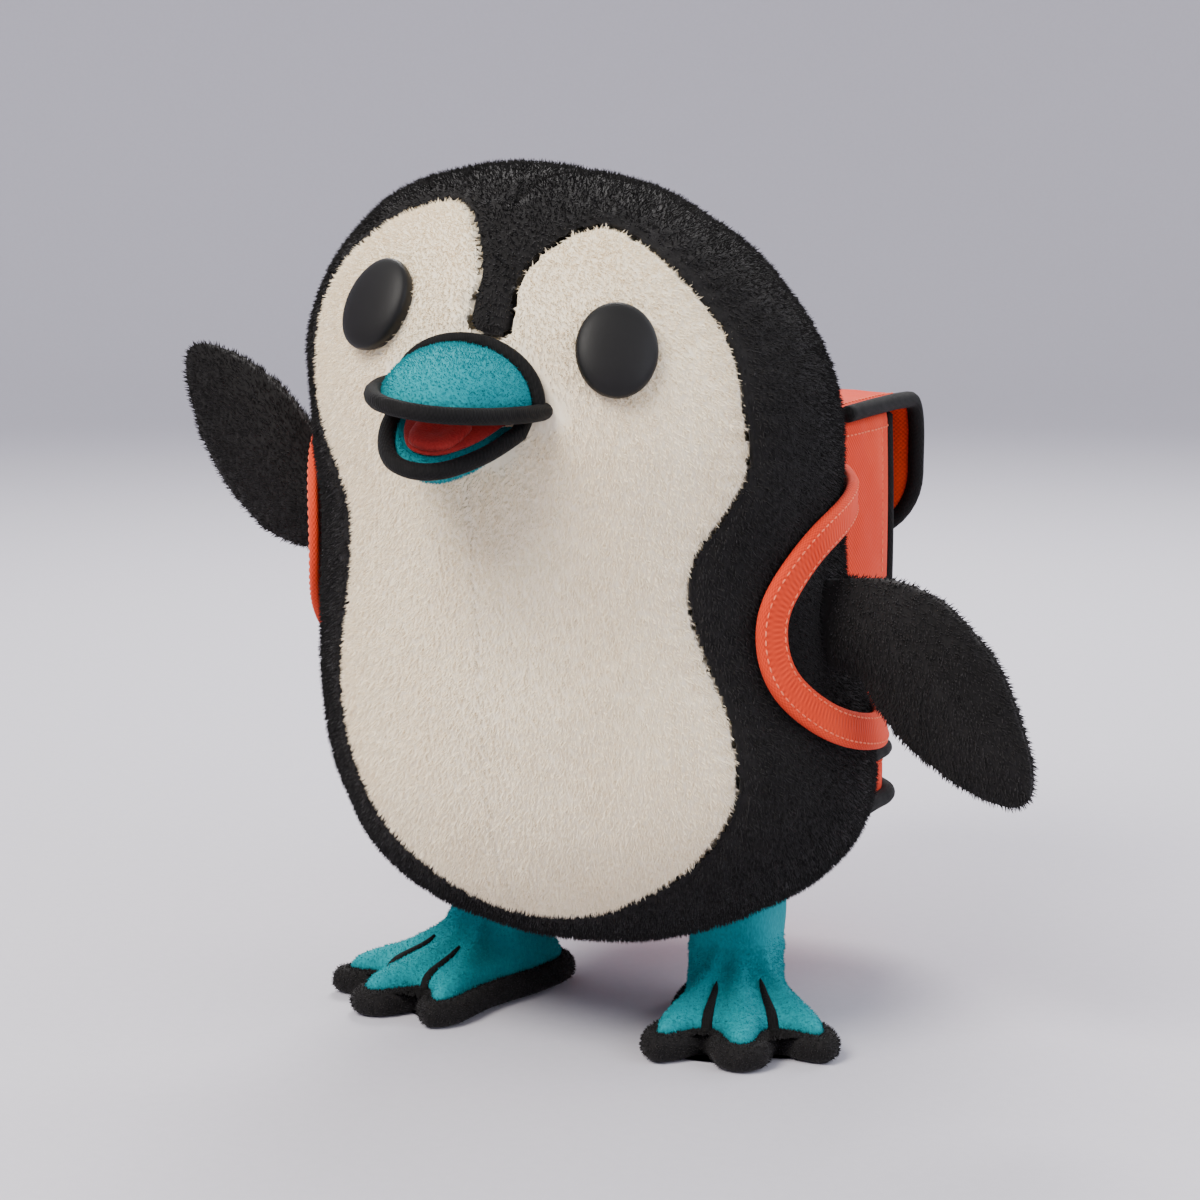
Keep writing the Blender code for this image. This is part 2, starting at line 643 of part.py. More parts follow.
def make_leg(side):
    out = 1 if side == "left" else -1
    pad_outline = foot_outline(out, 2)
    pad_levels = [(0.0022, 0.0), (0.0005, 0.0020), (0.0, 0.0044), (0.0005, 0.0066), (0.0022, PAD_TOP)]
    rings = [[Vector((*p, z)) for p in inset_outline(pad_outline, d)] for d, z in pad_levels]
    foot = loft("foot_%s_pad" % side, rings, BLACK_PLUSH)
    coarse = foot_outline(out, 1)
    wall, floor = 0.0062, 0.0024
    room = [[Vector((*p, z)) for p in inset_outline(coarse, wall)] for z in (floor, PAD_TOP + 0.002)]
    boolean(foot, loft("foot_%s_room" % side, room, BLACK_PLUSH))
    insole = [[Vector((*p, z)) for p in inset_outline(coarse, wall + GAP)] for z in (floor + GAP, PAD_TOP - 0.0002)]
    loft("foot_%s_insole" % side, insole, FIBREFILL)

    sole = PAD_TOP + GAP
    cover = loft("leg_%s_cover" % side, leg_rings(out, 0.0, sole), TEAL_FLEECE)
    boolean(cover, loft("leg_%s_room" % side, leg_rings(out, THIN_FABRIC, sole - 0.002), TEAL_FLEECE))
    loft("leg_%s_stuffing" % side, leg_rings(out, THIN_FABRIC + 6 * GAP, sole + GAP, 0.0015), FIBREFILL)

    # the plastic joint: a disc on a stem inside the leg, and a lock ring inside the torso
    stem, plate, lock, thick = 0.0022, 0.009, 0.0046, 0.002
    inner_face = HIP_X - HIP_HALF_WIDTH
    inside = inner_face + THIN_FABRIC + GAP + 0.0012
    stem_end, lock_face = inner_face - 0.0075, inner_face - 0.0038
    turn = [2 * math.pi * i / 20 for i in range(20)]

    def at(x):
        return Vector((out * x, HIP_Y, HIP_Z))

    def barrel(name, profile):
        """A turned piece on the hip's axis: (radius, distance from the middle of the toy)."""
        rings = [[at(x) + Vector((0, r * math.cos(a), r * math.sin(a))) for a in turn] for r, x in profile]
        return loft(name + "_" + side, rings, WHITE_PLASTIC)

    barrel("hip_disc", [(stem, stem_end), (stem, inside), (plate, inside), (plate, inside + thick)])
    stem_room = barrel("hip_stem_room", [(stem + GAP, stem_end - GAP), (stem + GAP, inside + 0.001)])
    boolean(cover, stem_room)
    boolean(barrel("hip_lock", [(lock, lock_face - thick), (lock, lock_face)]), stem_room)
    boolean(torso_stuffing, stem_room)
    boolean(torso_stuffing, barrel("hip_lock_room", [(lock + GAP, lock_face - thick - GAP),
                                                     (lock + GAP, lock_face + GAP)]))

    # the pocket that the drum turns in, open below
    arc = [math.radians(a) for a in range(0, 181, 18)]
    reach = HIP_RADIUS + HIP_CLEARANCE + 0.0003
    mouth = HIP_RADIUS + 0.0018
    outline = [(reach * math.cos(a), reach * math.sin(a)) for a in arc]
    outline += [(-mouth, -0.004), (-mouth, -HIP_Z), (mouth, -HIP_Z), (mouth, -0.004)]
    half = HIP_HALF_WIDTH + HIP_CLEARANCE
    rings = [[at(HIP_X + dx) + Vector((0, y, z)) for y, z in outline] for dx in (-half, half)]
    pocket = loft("hip_pocket_" + side, rings, BLACK_PLUSH)
    near, far = sorted((out * (HIP_X - half), out * (HIP_X + 0.045)))
    side_room = slab("hip_side_room_" + side, (near, HIP_Y - mouth, 0), (far, HIP_Y + mouth, BASE_SEAM_HEIGHT + 0.004))
    for piece in (torso_stuffing, torso_base, bpy.data.objects["torso_back_" + side]):
        boolean(piece, pocket)
        boolean(piece, side_room)


make_leg("left")
make_leg("right")

# ---------------------------------------------------------------- rucksack
bag_rest = helper(bend(torso_solid("bag_rest", -0.001, BLACK_PLUSH)))
bag_lining_rest = helper(bend(torso_solid("bag_lining_rest", -0.001 - BAG_CLOTH, BLACK_PLUSH)))


def bag_ring(z, grow, steps=4):
    """The bag's plan at a height: a rectangle with round corners, grown outwards."""
    radius = BAG_CORNER + grow
    ring = []
    for corner, (sx, sy) in enumerate(((1, 1), (-1, 1), (-1, -1), (1, -1))):
        for i in range(steps + 1):
            a = math.pi / 2 * (corner + i / steps)
            x = sx * (BAG_HALF_WIDTH - BAG_CORNER) + radius * math.cos(a)
            y = BAG_CENTRE_Y + sy * (BAG_HALF_DEPTH - BAG_CORNER) + radius * math.sin(a)
            ring.append(Vector((x, y, z)))
    return ring


bag_levels = [(-0.006, 0.0), (-0.0015, 0.003), (0.0, 0.009), (0.0, BAG_RIM - BAG_BOTTOM)]
bag_shell = loft("bag_shell", [bag_ring(BAG_BOTTOM + h, g) for g, h in bag_levels], ORANGE_CANVAS)
room_levels = [(-0.006, BAG_CLOTH), (-0.0005, 0.009), (-0.0005, BAG_RIM - BAG_BOTTOM + 0.004)]
bag_room = loft("bag_room", [bag_ring(BAG_BOTTOM + h, g - BAG_CLOTH) for g, h in room_levels], ORANGE_CANVAS)
boolean(bag_room, bag_lining_rest)
boolean(bag_shell, bag_room)
boolean(bag_shell, bag_rest)


def bag_band(name, z, radius, grow):
    """A piped seam round the sides and the back of the bag, from the torso to the torso."""
    ring = bag_ring(z, grow + radius + GAP, 5)
    start = len(ring) // 4 * 3 + 3
    ordered = ring[start:] + ring[:start]
    clear = [p for p in ordered if p.y > BAG_CENTRE_Y - 0.012]
    ends = [Vector((s * clear[0].x, BAG_CENTRE_Y - 0.012, z)) for s in (1, -1)]
    tube(name, [ends[0]] + clear + [ends[1]], radius, BLACK_CORD)


bag_band("bag_band_upper", 0.095, 0.0022, 0.0)
bag_band("bag_band_lower", 0.075, 0.0022, 0.0)
bag_band("bag_base_piping", 0.0575, BAG_PIPING, 0.0)

corner_reach = BAG_CORNER + BAG_PIPING + GAP
corner_x = BAG_HALF_WIDTH - BAG_CORNER + corner_reach * math.sin(math.pi / 4)
corner_y = BAG_CENTRE_Y + BAG_HALF_DEPTH - BAG_CORNER + corner_reach * math.cos(math.pi / 4)
for side, sx in (("left", 1), ("right", -1)):
    tube("bag_piping_" + side, [(sx * corner_x, corner_y, z) for z in (0.101, 0.15, 0.199)], BAG_PIPING, BLACK_CORD)

bag_back = BAG_CENTRE_Y + BAG_HALF_DEPTH
POCKET_X, POCKET_LOW, POCKET_HIGH, POCKET_DEPTH = 0.028, 0.102, 0.140, 0.007
pocket_half = (POCKET_HIGH - POCKET_LOW) / 2
pocket_outline = closed_spline([
    (POCKET_X, pocket_half), (0, pocket_half), (-POCKET_X, pocket_half), (-POCKET_X, -0.3 * pocket_half),
    (-0.7 * POCKET_X, -pocket_half), (0, -pocket_half), (0.7 * POCKET_X, -pocket_half),
    (POCKET_X, -0.3 * pocket_half)], 2)
pocket_middle = (POCKET_LOW + POCKET_HIGH) / 2
pocket_levels = [(1.0, GAP), (1.0, 0.4 * POCKET_DEPTH), (0.92, 0.8 * POCKET_DEPTH), (0.7, POCKET_DEPTH)]
rings = [[Vector((p.x * s, bag_back + h, pocket_middle + p.y * s)) for p in pocket_outline] for s, h in pocket_levels]
loft("bag_pocket", rings, ORANGE_CANVAS)
binding_y = bag_back + GAP + 0.0022
tube("pocket_binding", [(x, binding_y, POCKET_HIGH + 0.0042) for x in (-POCKET_X, 0, POCKET_X)], 0.002, BLACK_CORD)

# ---------------------------------------------------------------- flap, hinged on the bag's front top edge
FLAP_PATH = open_spline([(0.0800, 0.2062), (0.110, 0.2068), (0.137, 0.2068), (0.1490, 0.2052), (0.1535, 0.1960),
                         (0.1537, 0.180), (0.1537, 0.1560)], 3)
flap_lengths = [0.0]
for before, after in zip(FLAP_PATH, FLAP_PATH[1:]):
    flap_lengths.append(flap_lengths[-1] + (after - before).length)
FLAP_LENGTH = flap_lengths[-1]
FLAP_CORNER = 0.022
FLAP_HINGE = Vector((0, 0.0785, 0.2062))


def flap_point(x, s):
    """A point of the flap: x across, s along it from the hinge."""
    for (a, b), (low, high) in zip(zip(FLAP_PATH, FLAP_PATH[1:]), zip(flap_lengths, flap_lengths[1:])):
        if s <= high or high == FLAP_LENGTH:
            p = a + (b - a) * ((s - low) / (high - low))
            return Vector((x, p.x, p.y))


def flap_reach(x):
    """How far down the flap goes at x, for its round corners."""
    over = max(0.0, abs(x) - (FLAP_HALF_WIDTH - FLAP_CORNER)) / FLAP_CORNER
    return FLAP_LENGTH - FLAP_CORNER * (1 - math.sqrt(max(0.0, 1 - over * over)))


columns = [FLAP_HALF_WIDTH - FLAP_CORNER + FLAP_CORNER * math.sin(math.radians(a)) for a in (0, 30, 58, 90)]
columns = [-x for x in reversed(columns)] + [0.0] + columns
upper = [s for s in flap_lengths if s < FLAP_LENGTH - FLAP_CORNER - 0.004]
points = [flap_point(x, s) for x in columns for s in (*upper, flap_reach(x))]
rows = len(upper) + 1
faces = [(i * rows + j, (i + 1) * rows + j, (i + 1) * rows + j + 1, i * rows + j + 1)
         for i in range(len(columns) - 1) for j in range(rows - 1)]
bag_flap = mesh_object("bag_flap", points, faces, ORANGE_CANVAS)
solidify = bag_flap.modifiers.new("cloth", "SOLIDIFY")
solidify.thickness = FLAP_THICKNESS
solidify.offset = 0

grow = BAG_PIPING + GAP
edge = [(-(FLAP_HALF_WIDTH + grow), s) for s in flap_lengths if s < FLAP_LENGTH - FLAP_CORNER]
for side_x, turns in ((FLAP_CORNER - FLAP_HALF_WIDTH, range(-90, 1, 15)),
                      (FLAP_HALF_WIDTH - FLAP_CORNER, range(0, 91, 15))):
    for turn in turns:
        a = math.radians(turn)
        edge.append((side_x + (FLAP_CORNER + grow) * math.sin(a),
                     FLAP_LENGTH - FLAP_CORNER + (FLAP_CORNER + grow) * math.cos(a)))
edge += [(FLAP_HALF_WIDTH + grow, s) for s in reversed(flap_lengths) if s < FLAP_LENGTH - FLAP_CORNER]
tube("flap_piping", [flap_point(x, s) for x, s in edge], BAG_PIPING, BLACK_CORD)

SNAP_HEIGHT = 0.168
flap_back = FLAP_PATH[-1].x + FLAP_THICKNESS / 2
disc("snap_cap", (0, flap_back + GAP, SNAP_HEIGHT), (0, 1, 0), 0.0065, 0.0022, BLACK_PLASTIC, 20, 0.0007)
disc("snap_socket", (0, bag_back + GAP, SNAP_HEIGHT), (0, 1, 0), 0.0055, 0.0030, BLACK_PLASTIC, 20)


# ---------------------------------------------------------------- shoulder straps
# The left strap from the bag's top, round the front of the wing and back: degrees round the body, and height.
STRAP_ROUTE = [(138, 0.199), (120, 0.199), (101, 0.197), (82, 0.189), (69, 0.173), (65, 0.157), (68, 0.140),
               (80, 0.125), (99, 0.116), (120, 0.113), (138, 0.112)]


def make_strap(side):
    out = 1 if side == "left" else -1
    route = open_spline([(math.radians(a), z) for a, z in STRAP_ROUTE], 2)
    lift = STRAP_THICKNESS / 2 + 0.0012
    centres, normals = [], []
    for turn, z in route:
        point, normal = surface_frame(out * turn, z)
        centres.append(point + normal * lift)
        normals.append(normal)
    section = [(1.0, 0.35), (0.75, 1.0), (-0.75, 1.0), (-1.0, 0.35), (-1.0, -0.35), (-0.75, -1.0), (0.75, -1.0),
               (1.0, -0.35)]
    rings = []
    for i, (centre, normal) in enumerate(zip(centres, normals)):
        along = (centres[min(i + 1, len(centres) - 1)] - centres[max(i - 1, 0)]).normalized()
        across = along.cross(normal).normalized()
        rings.append([centre + across * a * STRAP_HALF_WIDTH + normal * b * STRAP_THICKNESS / 2 for a, b in section])
    loft("strap_" + side, rings, ORANGE_CANVAS)


make_strap("left")
make_strap("right")

# ---------------------------------------------------------------- put the origin under the middle of the toy
bpy.context.view_layer.update()
graph = bpy.context.evaluated_depsgraph_get()
spots = []
for o in bpy.data.objects:
    if not o.hide_render:
        spots += [o.matrix_world @ v.co for v in o.evaluated_get(graph).to_mesh().vertices]
middle_x = (min(p.x for p in spots) + max(p.x for p in spots)) / 2
middle_y = (min(p.y for p in spots) + max(p.y for p in spots)) / 2
base = bpy.data.objects.new("origin", None)
bpy.context.scene.collection.objects.link(base)
for o in list(bpy.data.objects):
    if o is not base:
        o.parent = base
base.location = (-middle_x, -middle_y, 0)
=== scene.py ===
"""A plush penguin with a rucksack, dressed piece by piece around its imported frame.

Metres, +Z up. The penguin faces -Y and its left side is at +X.
"""

from math import atan2, copysign, cos, pi, radians, sin, sqrt

import bmesh
import bpy
import numpy as np
from mathutils import Matrix, Vector, noise
from mathutils.bvhtree import BVHTree


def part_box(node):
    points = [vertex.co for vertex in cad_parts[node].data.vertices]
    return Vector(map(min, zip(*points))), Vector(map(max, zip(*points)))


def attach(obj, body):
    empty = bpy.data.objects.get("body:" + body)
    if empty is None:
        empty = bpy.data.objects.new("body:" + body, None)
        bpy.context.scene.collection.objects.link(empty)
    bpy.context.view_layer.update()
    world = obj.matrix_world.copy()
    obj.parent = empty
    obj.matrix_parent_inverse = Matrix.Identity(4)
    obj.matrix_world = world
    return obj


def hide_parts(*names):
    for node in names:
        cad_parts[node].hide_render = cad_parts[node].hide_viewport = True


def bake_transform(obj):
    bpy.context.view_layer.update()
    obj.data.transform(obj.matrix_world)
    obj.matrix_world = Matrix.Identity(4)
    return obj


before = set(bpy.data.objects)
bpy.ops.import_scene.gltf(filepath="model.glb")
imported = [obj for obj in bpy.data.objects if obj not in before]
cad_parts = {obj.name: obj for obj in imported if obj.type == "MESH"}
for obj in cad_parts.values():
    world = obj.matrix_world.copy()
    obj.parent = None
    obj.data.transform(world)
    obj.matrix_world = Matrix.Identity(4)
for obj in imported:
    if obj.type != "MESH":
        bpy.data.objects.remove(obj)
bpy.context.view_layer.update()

# ======================================================================
# The stuffed body
# Head and trunk are one bag of short-pile plush stuffed with fibre: a cream panel from the brows to the
# belly, and black panels round it that meet in a seam down the back. The seams pull in a little.
# ======================================================================
BELLY_Z, HEAD_Z, BODY_LOW, BODY_HIGH = 0.105, 0.215, 0.029, 0.295
BELLY_HALF, HEAD_HALF, DEPTH_SHARE, NECK_PULL = 0.098, 0.093, 0.93, 0.003
HEAD_TIP = radians(9)
HIP_BACK, HEAD_FORWARD, HEAD_ASIDE = 0.008, 0.014, 0.003
pellets_low, pellets_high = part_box("bead_bag")
BODY_X = (pellets_low.x + pellets_high.x) / 2
BODY_Y = (pellets_low.y + pellets_high.y) / 2 - HIP_BACK
FACE_TURN = radians(6)
HIP_X, HIP_Z, HIP_HALF, SOCKET = 0.047, 0.040, 0.0157, 0.0170
TURNS, FRONT_SEAM_DEEP = 128, 0.02
PRESSURE, CLOTH_FRAMES = 4.0, 20
LEAN_FROM, SOCKET_WALL = 0.04, 0.0178
PANEL_CUT = [
    (0.246, 4), (0.262, 5), (0.273, 11), (0.280, 22), (0.280, 35), (0.269, 48), (0.247, 55),
    (0.217, 55), (0.200, 50), (0.186, 43), (0.170, 40), (0.150, 42.5), (0.123, 46), (0.096, 44),
    (0.073, 36), (0.058, 25), (0.049, 11),
]  # half of the cream panel: height, and degrees from the middle of the face


def ease(t):
    t = min(1.0, max(0.0, t))
    return t * t * (3 - 2 * t)


def body_half_width(z):
    if z < BELLY_Z:
        drop = min(1.0, (BELLY_Z - z) / (BELLY_Z - BODY_LOW))
        return BELLY_HALF * (1 - drop**2.3) ** (1 / 2.3)
    if z > HEAD_Z:
        rise = min(1.0, (z - HEAD_Z) / (BODY_HIGH - HEAD_Z))
        return HEAD_HALF * (1 - rise**2.1) ** (1 / 2.1)
    share = (z - BELLY_Z) / (HEAD_Z - BELLY_Z)
    return BELLY_HALF + (HEAD_HALF - BELLY_HALF) * ease(share) - NECK_PULL * sin(pi * share) ** 2


def leaned(p):
    """Where a point of the upright body goes when the toy leans and tips its head."""
    share = ease((p[2] - LEAN_FROM) / 0.12)
    lean = ease((p[2] - LEAN_FROM) / 0.20)
    roll = HEAD_TIP * share
    return Vector((
        p[0] * cos(roll) - HEAD_ASIDE * share + BODY_X,
        p[1] + HIP_BACK - (HIP_BACK + HEAD_FORWARD) * lean + BODY_Y,
        p[2] - p[0] * sin(roll),
    ))


def body_point(angle, z):
    """A point of the body: angle 0 is the front, and a quarter turn is its left side."""
    w = body_half_width(z)
    return leaned((w * sin(angle), -DEPTH_SHARE * w * cos(angle), z))


def body_frame(angle, z):
    """(point, outward normal) of the body."""
    point = body_point(angle, z)
    across = body_point(angle + 0.02, z) - point
    up = body_point(angle, z + 0.002) - point
    return point, across.cross(up).normalized()


def new_piece(name, points, faces, material):
    mesh = bpy.data.meshes.new(name)
    mesh.from_pydata([tuple(p) for p in points], [], faces)
    tool = bmesh.new()
    tool.from_mesh(mesh)
    bmesh.ops.recalc_face_normals(tool, faces=tool.faces)
    if tool.calc_volume(signed=True) < 0:
        bmesh.ops.reverse_faces(tool, faces=tool.faces)
    tool.to_mesh(mesh)
    tool.free()
    mesh.shade_smooth()
    mesh.materials.append(material)
    piece = bpy.data.objects.new(name, mesh)
    bpy.context.scene.collection.objects.link(piece)
    return piece


def skin(name, rings, material, first=None, last=None):
    """A closed form through rings of equal count, ended by points or by flat caps."""
    count = len(rings[0])
    points = [p for ring in rings for p in ring]
    faces = []
    for low in range(0, (len(rings) - 1) * count, count):
        faces += [(low + i, low + (i + 1) % count, low + count + (i + 1) % count, low + count + i)
                  for i in range(count)]
    for end, start in ((first, 0), (last, (len(rings) - 1) * count)):
        if end is None:
            faces.append(tuple(range(start, start + count)))
            continue
        points.append(end)
        faces += [(start + i, start + (i + 1) % count, len(points) - 1) for i in range(count)]
    return new_piece(name, points, faces, material)


def baked(piece):
    """Turns what the modifiers make into the piece's own mesh."""
    bpy.context.view_layer.update()
    graph = bpy.context.evaluated_depsgraph_get()
    mesh = bpy.data.meshes.new_from_object(piece.evaluated_get(graph))
    piece.modifiers.clear()
    old, piece.data = piece.data, mesh
    bpy.data.meshes.remove(old)
    return piece


def cut(piece, tool, operation="DIFFERENCE"):
    modifier = piece.modifiers.new("cut", "BOOLEAN")
    modifier.operation, modifier.object, modifier.solver = operation, tool, "EXACT"
    return baked(piece)


def places(piece, what="co"):
    out = np.zeros(len(piece.data.vertices) * 3, np.float32)
    piece.data.vertices.foreach_get(what, out)
    return out.reshape(-1, 3).astype(float)


def normals(piece):
    return places(piece, "normal")


def put(piece, co):
    piece.data.vertices.foreach_set("co", np.asarray(co, np.float32).ravel())
    piece.data.update()


def stuff(piece, voxel, start_in, most):
    """Blows the bag out as fibre does: remeshed, taken in a little, then pressed out as cloth, within a cap."""
    remesh = piece.modifiers.new("even", "REMESH")
    remesh.mode, remesh.voxel_size, remesh.use_smooth_shade = "VOXEL", voxel, True
    even = piece.modifiers.new("smooth", "SMOOTH")
    even.factor, even.iterations = 0.5, 3
    baked(piece)
    target = places(piece)
    start = target - normals(piece) * start_in
    put(piece, start)
    cloth = piece.modifiers.new("cloth", "CLOTH")
    cloth.settings.quality = 4
    cloth.settings.use_pressure = True
    cloth.settings.uniform_pressure_force = PRESSURE
    cloth.settings.tension_stiffness = cloth.settings.compression_stiffness = 12
    cloth.settings.bending_stiffness = 0.4
    cloth.settings.effector_weights.gravity = 0
    cloth.point_cache.frame_start, cloth.point_cache.frame_end = 1, CLOTH_FRAMES
    for step in range(1, CLOTH_FRAMES + 1):
        bpy.context.scene.frame_set(step)
    graph = bpy.context.evaluated_depsgraph_get()
    moved = np.array([v.co for v in piece.evaluated_get(graph).to_mesh().vertices], float)
    piece.modifiers.clear()
    bpy.context.scene.frame_set(1)
    shift = moved - target
    length = np.linalg.norm(shift, axis=1, keepdims=True)
    put(piece, target + shift * np.minimum(1, most / np.maximum(length, 1e-9)))
    refine = piece.modifiers.new("finer", "SUBSURF")
    refine.levels = refine.render_levels = 1
    return baked(piece)


def lumps(piece, height, size):
    """The stuffing's soft unevenness, pressed into the cloth along its normals."""
    co = places(piece)
    rise = [noise.noise(Vector(p) / size) + 0.4 * noise.noise(Vector(p) * 2.3 / size) for p in co]
    put(piece, co + normals(piece) * (height * np.array(rise))[:, None])


def spline(p0, p1, p2, p3, per_span):
    """Points of a smooth curve from p1 up to p2, by way of the points before and after them."""
    for step in range(per_span):
        t = step / per_span
        yield 0.5 * (2 * p1 + (p2 - p0) * t + (2 * p0 - 5 * p1 + 4 * p2 - p3) * t**2
                     + (3 * p1 - p0 - 3 * p2 + p3) * t**3)


def closed_curve(control, per_span):
    points = [Vector(c) for c in control]
    rolled = [points[k:] + points[:k] for k in (-1, 0, 1, 2)]
    return [p for four in zip(*rolled) for p in spline(*four, per_span)]


def open_curve(control, per_span):
    ends = [2 * Vector(control[0]) - Vector(control[1])]
    ends += [Vector(c) for c in control] + [2 * Vector(control[-1]) - Vector(control[-2])]
    out = [p for four in zip(ends, ends[1:], ends[2:], ends[3:]) for p in spline(*four, per_span)]
    return out + [Vector(control[-1])]


def angles(count):
    return [2 * pi * i / count for i in range(count)]


def dress(piece, body, slot, *nodes, fill=None):
    """Hangs a piece on its body and hides the solids it stands for; its cloth (slot) and how full it is stuffed
    (fill) are not used.
    """
    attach(piece, body)
    if nodes:
        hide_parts(*nodes)


# ---- node trees: a few words that the materials and the geometry trees share
FLOAT, COLOUR, VECTOR = "NodeSocketFloat", "NodeSocketColor", "NodeSocketVector"
GEOMETRY, MATERIAL = "NodeSocketGeometry", "NodeSocketMaterial"


def wire(tree, node, inputs):
    """Gives a node its inputs: a socket is linked, and anything else is the value."""
    for key, value in inputs.items():
        socket = node.inputs[key]
        if isinstance(value, bpy.types.NodeSocket):
            tree.links.new(value, socket)
        elif socket.type == "RGBA":
            socket.default_value = (*value[:3], 1)
        else:
            socket.default_value = value


def adder(tree):
    """A function that adds a node to the tree and returns one of its outputs."""
    def add(kind, inputs=None, out=0, **settings):
        node = tree.nodes.new(kind)
        for name, value in settings.items():
            setattr(node, name, value)
        wire(tree, node, inputs or {})
        return node.outputs[out]
    return add


def maths(add, operation, *values):
    return add("ShaderNodeMath", dict(enumerate(values)), operation=operation)


def mixed(add, factor, a, b):
    return add("ShaderNodeMix", {"Factor": factor, "A": a, "B": b}, "Result", data_type="RGBA")


def ranged(add, value, start=(0, 1), end=(0, 1)):
    return add("ShaderNodeMapRange", {"Value": value, "From Min": start[0], "From Max": start[1],
                                      "To Min": end[0], "To Max": end[1]})


def raised(add, height, strength, distance):
    return add("ShaderNodeBump", {"Strength": strength, "Distance": distance, "Height": height})


def group(name, inputs, kind="ShaderNodeTree"):
    """A node group with inputs of a type and a value each: (tree, function that adds nodes, its inputs)."""
    tree = bpy.data.node_groups.new(name, kind)
    for label, (socket_type, value) in inputs.items():
        socket = tree.interface.new_socket(label, in_out="INPUT", socket_type=socket_type)
        if value is not None:
            socket.default_value = value
    return tree, adder(tree), tree.nodes.new("NodeGroupInput").outputs


def group_ends(tree, outputs):
    """Gives a group its outputs, each a type and the socket that feeds it."""
    for label, (socket_type, _) in outputs.items():
        tree.interface.new_socket(label, in_out="OUTPUT", socket_type=socket_type)
    wire(tree, tree.nodes.new("NodeGroupOutput"), {label: socket for label, (_, socket) in outputs.items()})
    return tree


def new_material(name):
    made = bpy.data.materials.new(name)
    made.use_nodes = True
    return made, adder(made.node_tree)


def coat(material, inputs):
    wire(material.node_tree, material.node_tree.nodes["Principled BSDF"], inputs)
    return material


def pile_group():
    """Short pile: patches that lie a little differently, clumps of tufts, and single fibres, with painted light
    and shade.
    """
    tree, add, given = group("pile", {
        "Colour": (COLOUR, (0, 0, 0, 1)), "Lit": (COLOUR, (1, 1, 1, 1)), "Patch Size": (FLOAT, 0.03),
        "Tuft Size": (FLOAT, 0.0012), "Contrast": (FLOAT, 0.5)})
    where = add("ShaderNodeTexCoord", out="Object")

    def grain(size, detail, stretch):
        place = add("ShaderNodeMapping", {"Vector": where, "Scale": stretch})
        return add("ShaderNodeTexNoise", {"Vector": place, "Detail": detail,
                                          "Scale": maths(add, "DIVIDE", 1.0, given[size])})

    patch, tufts = grain("Patch Size", 2.0, (1, 1, 0.6)), grain("Tuft Size", 3.0, (1, 1, 0.45))
    # painted light and shade: where the tufts stand up, and in some patches, the pile is painted in the lit
    # colour, and in the hollows between tufts in the darker colour
    both = maths(add, "MULTIPLY_ADD", tufts, 0.65, maths(add, "MULTIPLY", patch, 0.35))
    share = maths(add, "MULTIPLY", ranged(add, both, (0.35, 0.68)), given["Contrast"])
    return group_ends(tree, {"Colour": (COLOUR, mixed(add, share, given["Colour"], given["Lit"])),
                             "Height": (FLOAT, tufts),
                             "Roughness": (FLOAT, ranged(add, patch, end=(0.92, 0.72)))})


PILE = pile_group()


# colour is the pile in its hollows, as painted shade, and lit is the painted light on the tufts' tops; contrast
# is how much painted light is mixed in
def pile_cloth(name, colour, lit, contrast=0.5, patch=0.03, tuft=0.0012, depth=0.0006, sheen=0.35,
               sheen_tint=(1, 1, 1), strength=0.7, specular=0.25):
    made, add = new_material(name)
    pile = add("ShaderNodeGroup", {"Colour": colour, "Lit": lit, "Contrast": contrast, "Patch Size": patch,
                                   "Tuft Size": tuft}, node_tree=PILE).node.outputs
    return coat(made, {
        "Base Color": pile["Colour"], "Roughness": pile["Roughness"],
        "Normal": raised(add, pile["Height"], strength, depth), "Sheen Weight": sheen, "Sheen Roughness": 0.45,
        "Sheen Tint": sheen_tint, "Specular IOR Level": specular})


BLACK_PLUSH = pile_cloth("black_plush", (0.0075, 0.007, 0.007), (0.022, 0.020, 0.020), sheen=0.10,
                         sheen_tint=(0.75, 0.72, 0.72), specular=0.12)
CREAM_PLUSH = pile_cloth("cream_plush", (0.88, 0.75, 0.55), (0.97, 0.89, 0.73), sheen=0.2, contrast=0.8,
                         sheen_tint=(1.0, 0.95, 0.85))

profile = []
for i in range(65):
    a = pi / 2 * i / 64
    profile.append(BELLY_Z - (BELLY_Z - BODY_LOW) * cos(a) ** (2 / 2.3))
profile += [BELLY_Z + (HEAD_Z - BELLY_Z) * i / 40 for i in range(1, 40)]
profile += [HEAD_Z + (BODY_HIGH - HEAD_Z) * sin(pi / 2 * i / 64) ** (2 / 2.1) for i in range(65)]
turns = angles(TURNS)
body = skin("body_bag", [[body_point(a, z) for a in turns] for z in profile[1:-1]], BLACK_PLUSH,
            leaned((0, 0, BODY_LOW)), leaned((0, 0, BODY_HIGH)))
stuff(body, 0.004, 0.0012, 0.0013)
lumps(body, 0.0010, 0.028)

# the sockets that the hip drums turn in
for side in ("left", "right"):
    low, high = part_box("hip_disc_" + side)
    hip_y = (low.y + high.y) / 2
    hip_x = BODY_X + copysign(HIP_X, low.x)
    arc = [(SOCKET * cos(radians(a)), SOCKET * sin(radians(a))) for a in range(0, 181, 9)]
    arc += [(-SOCKET_WALL, -0.004), (-SOCKET_WALL, -0.045), (SOCKET_WALL, -0.045), (SOCKET_WALL, -0.004)]
    socket = skin("socket", [[Vector((hip_x + dx, hip_y + y, HIP_Z + z)) for y, z in arc]
                             for dx in (-HIP_HALF, HIP_HALF)], BLACK_PLUSH)
    cut(body, socket)
    bpy.data.objects.remove(socket)

panel_half = [(body_half_width(z) * sin(FACE_TURN + radians(a)), z) for z, a in PANEL_CUT]
panel_other = [(body_half_width(z) * sin(FACE_TURN - radians(a)), z) for z, a in reversed(PANEL_CUT)]
panel_edge = closed_curve(panel_half + panel_other, 8)


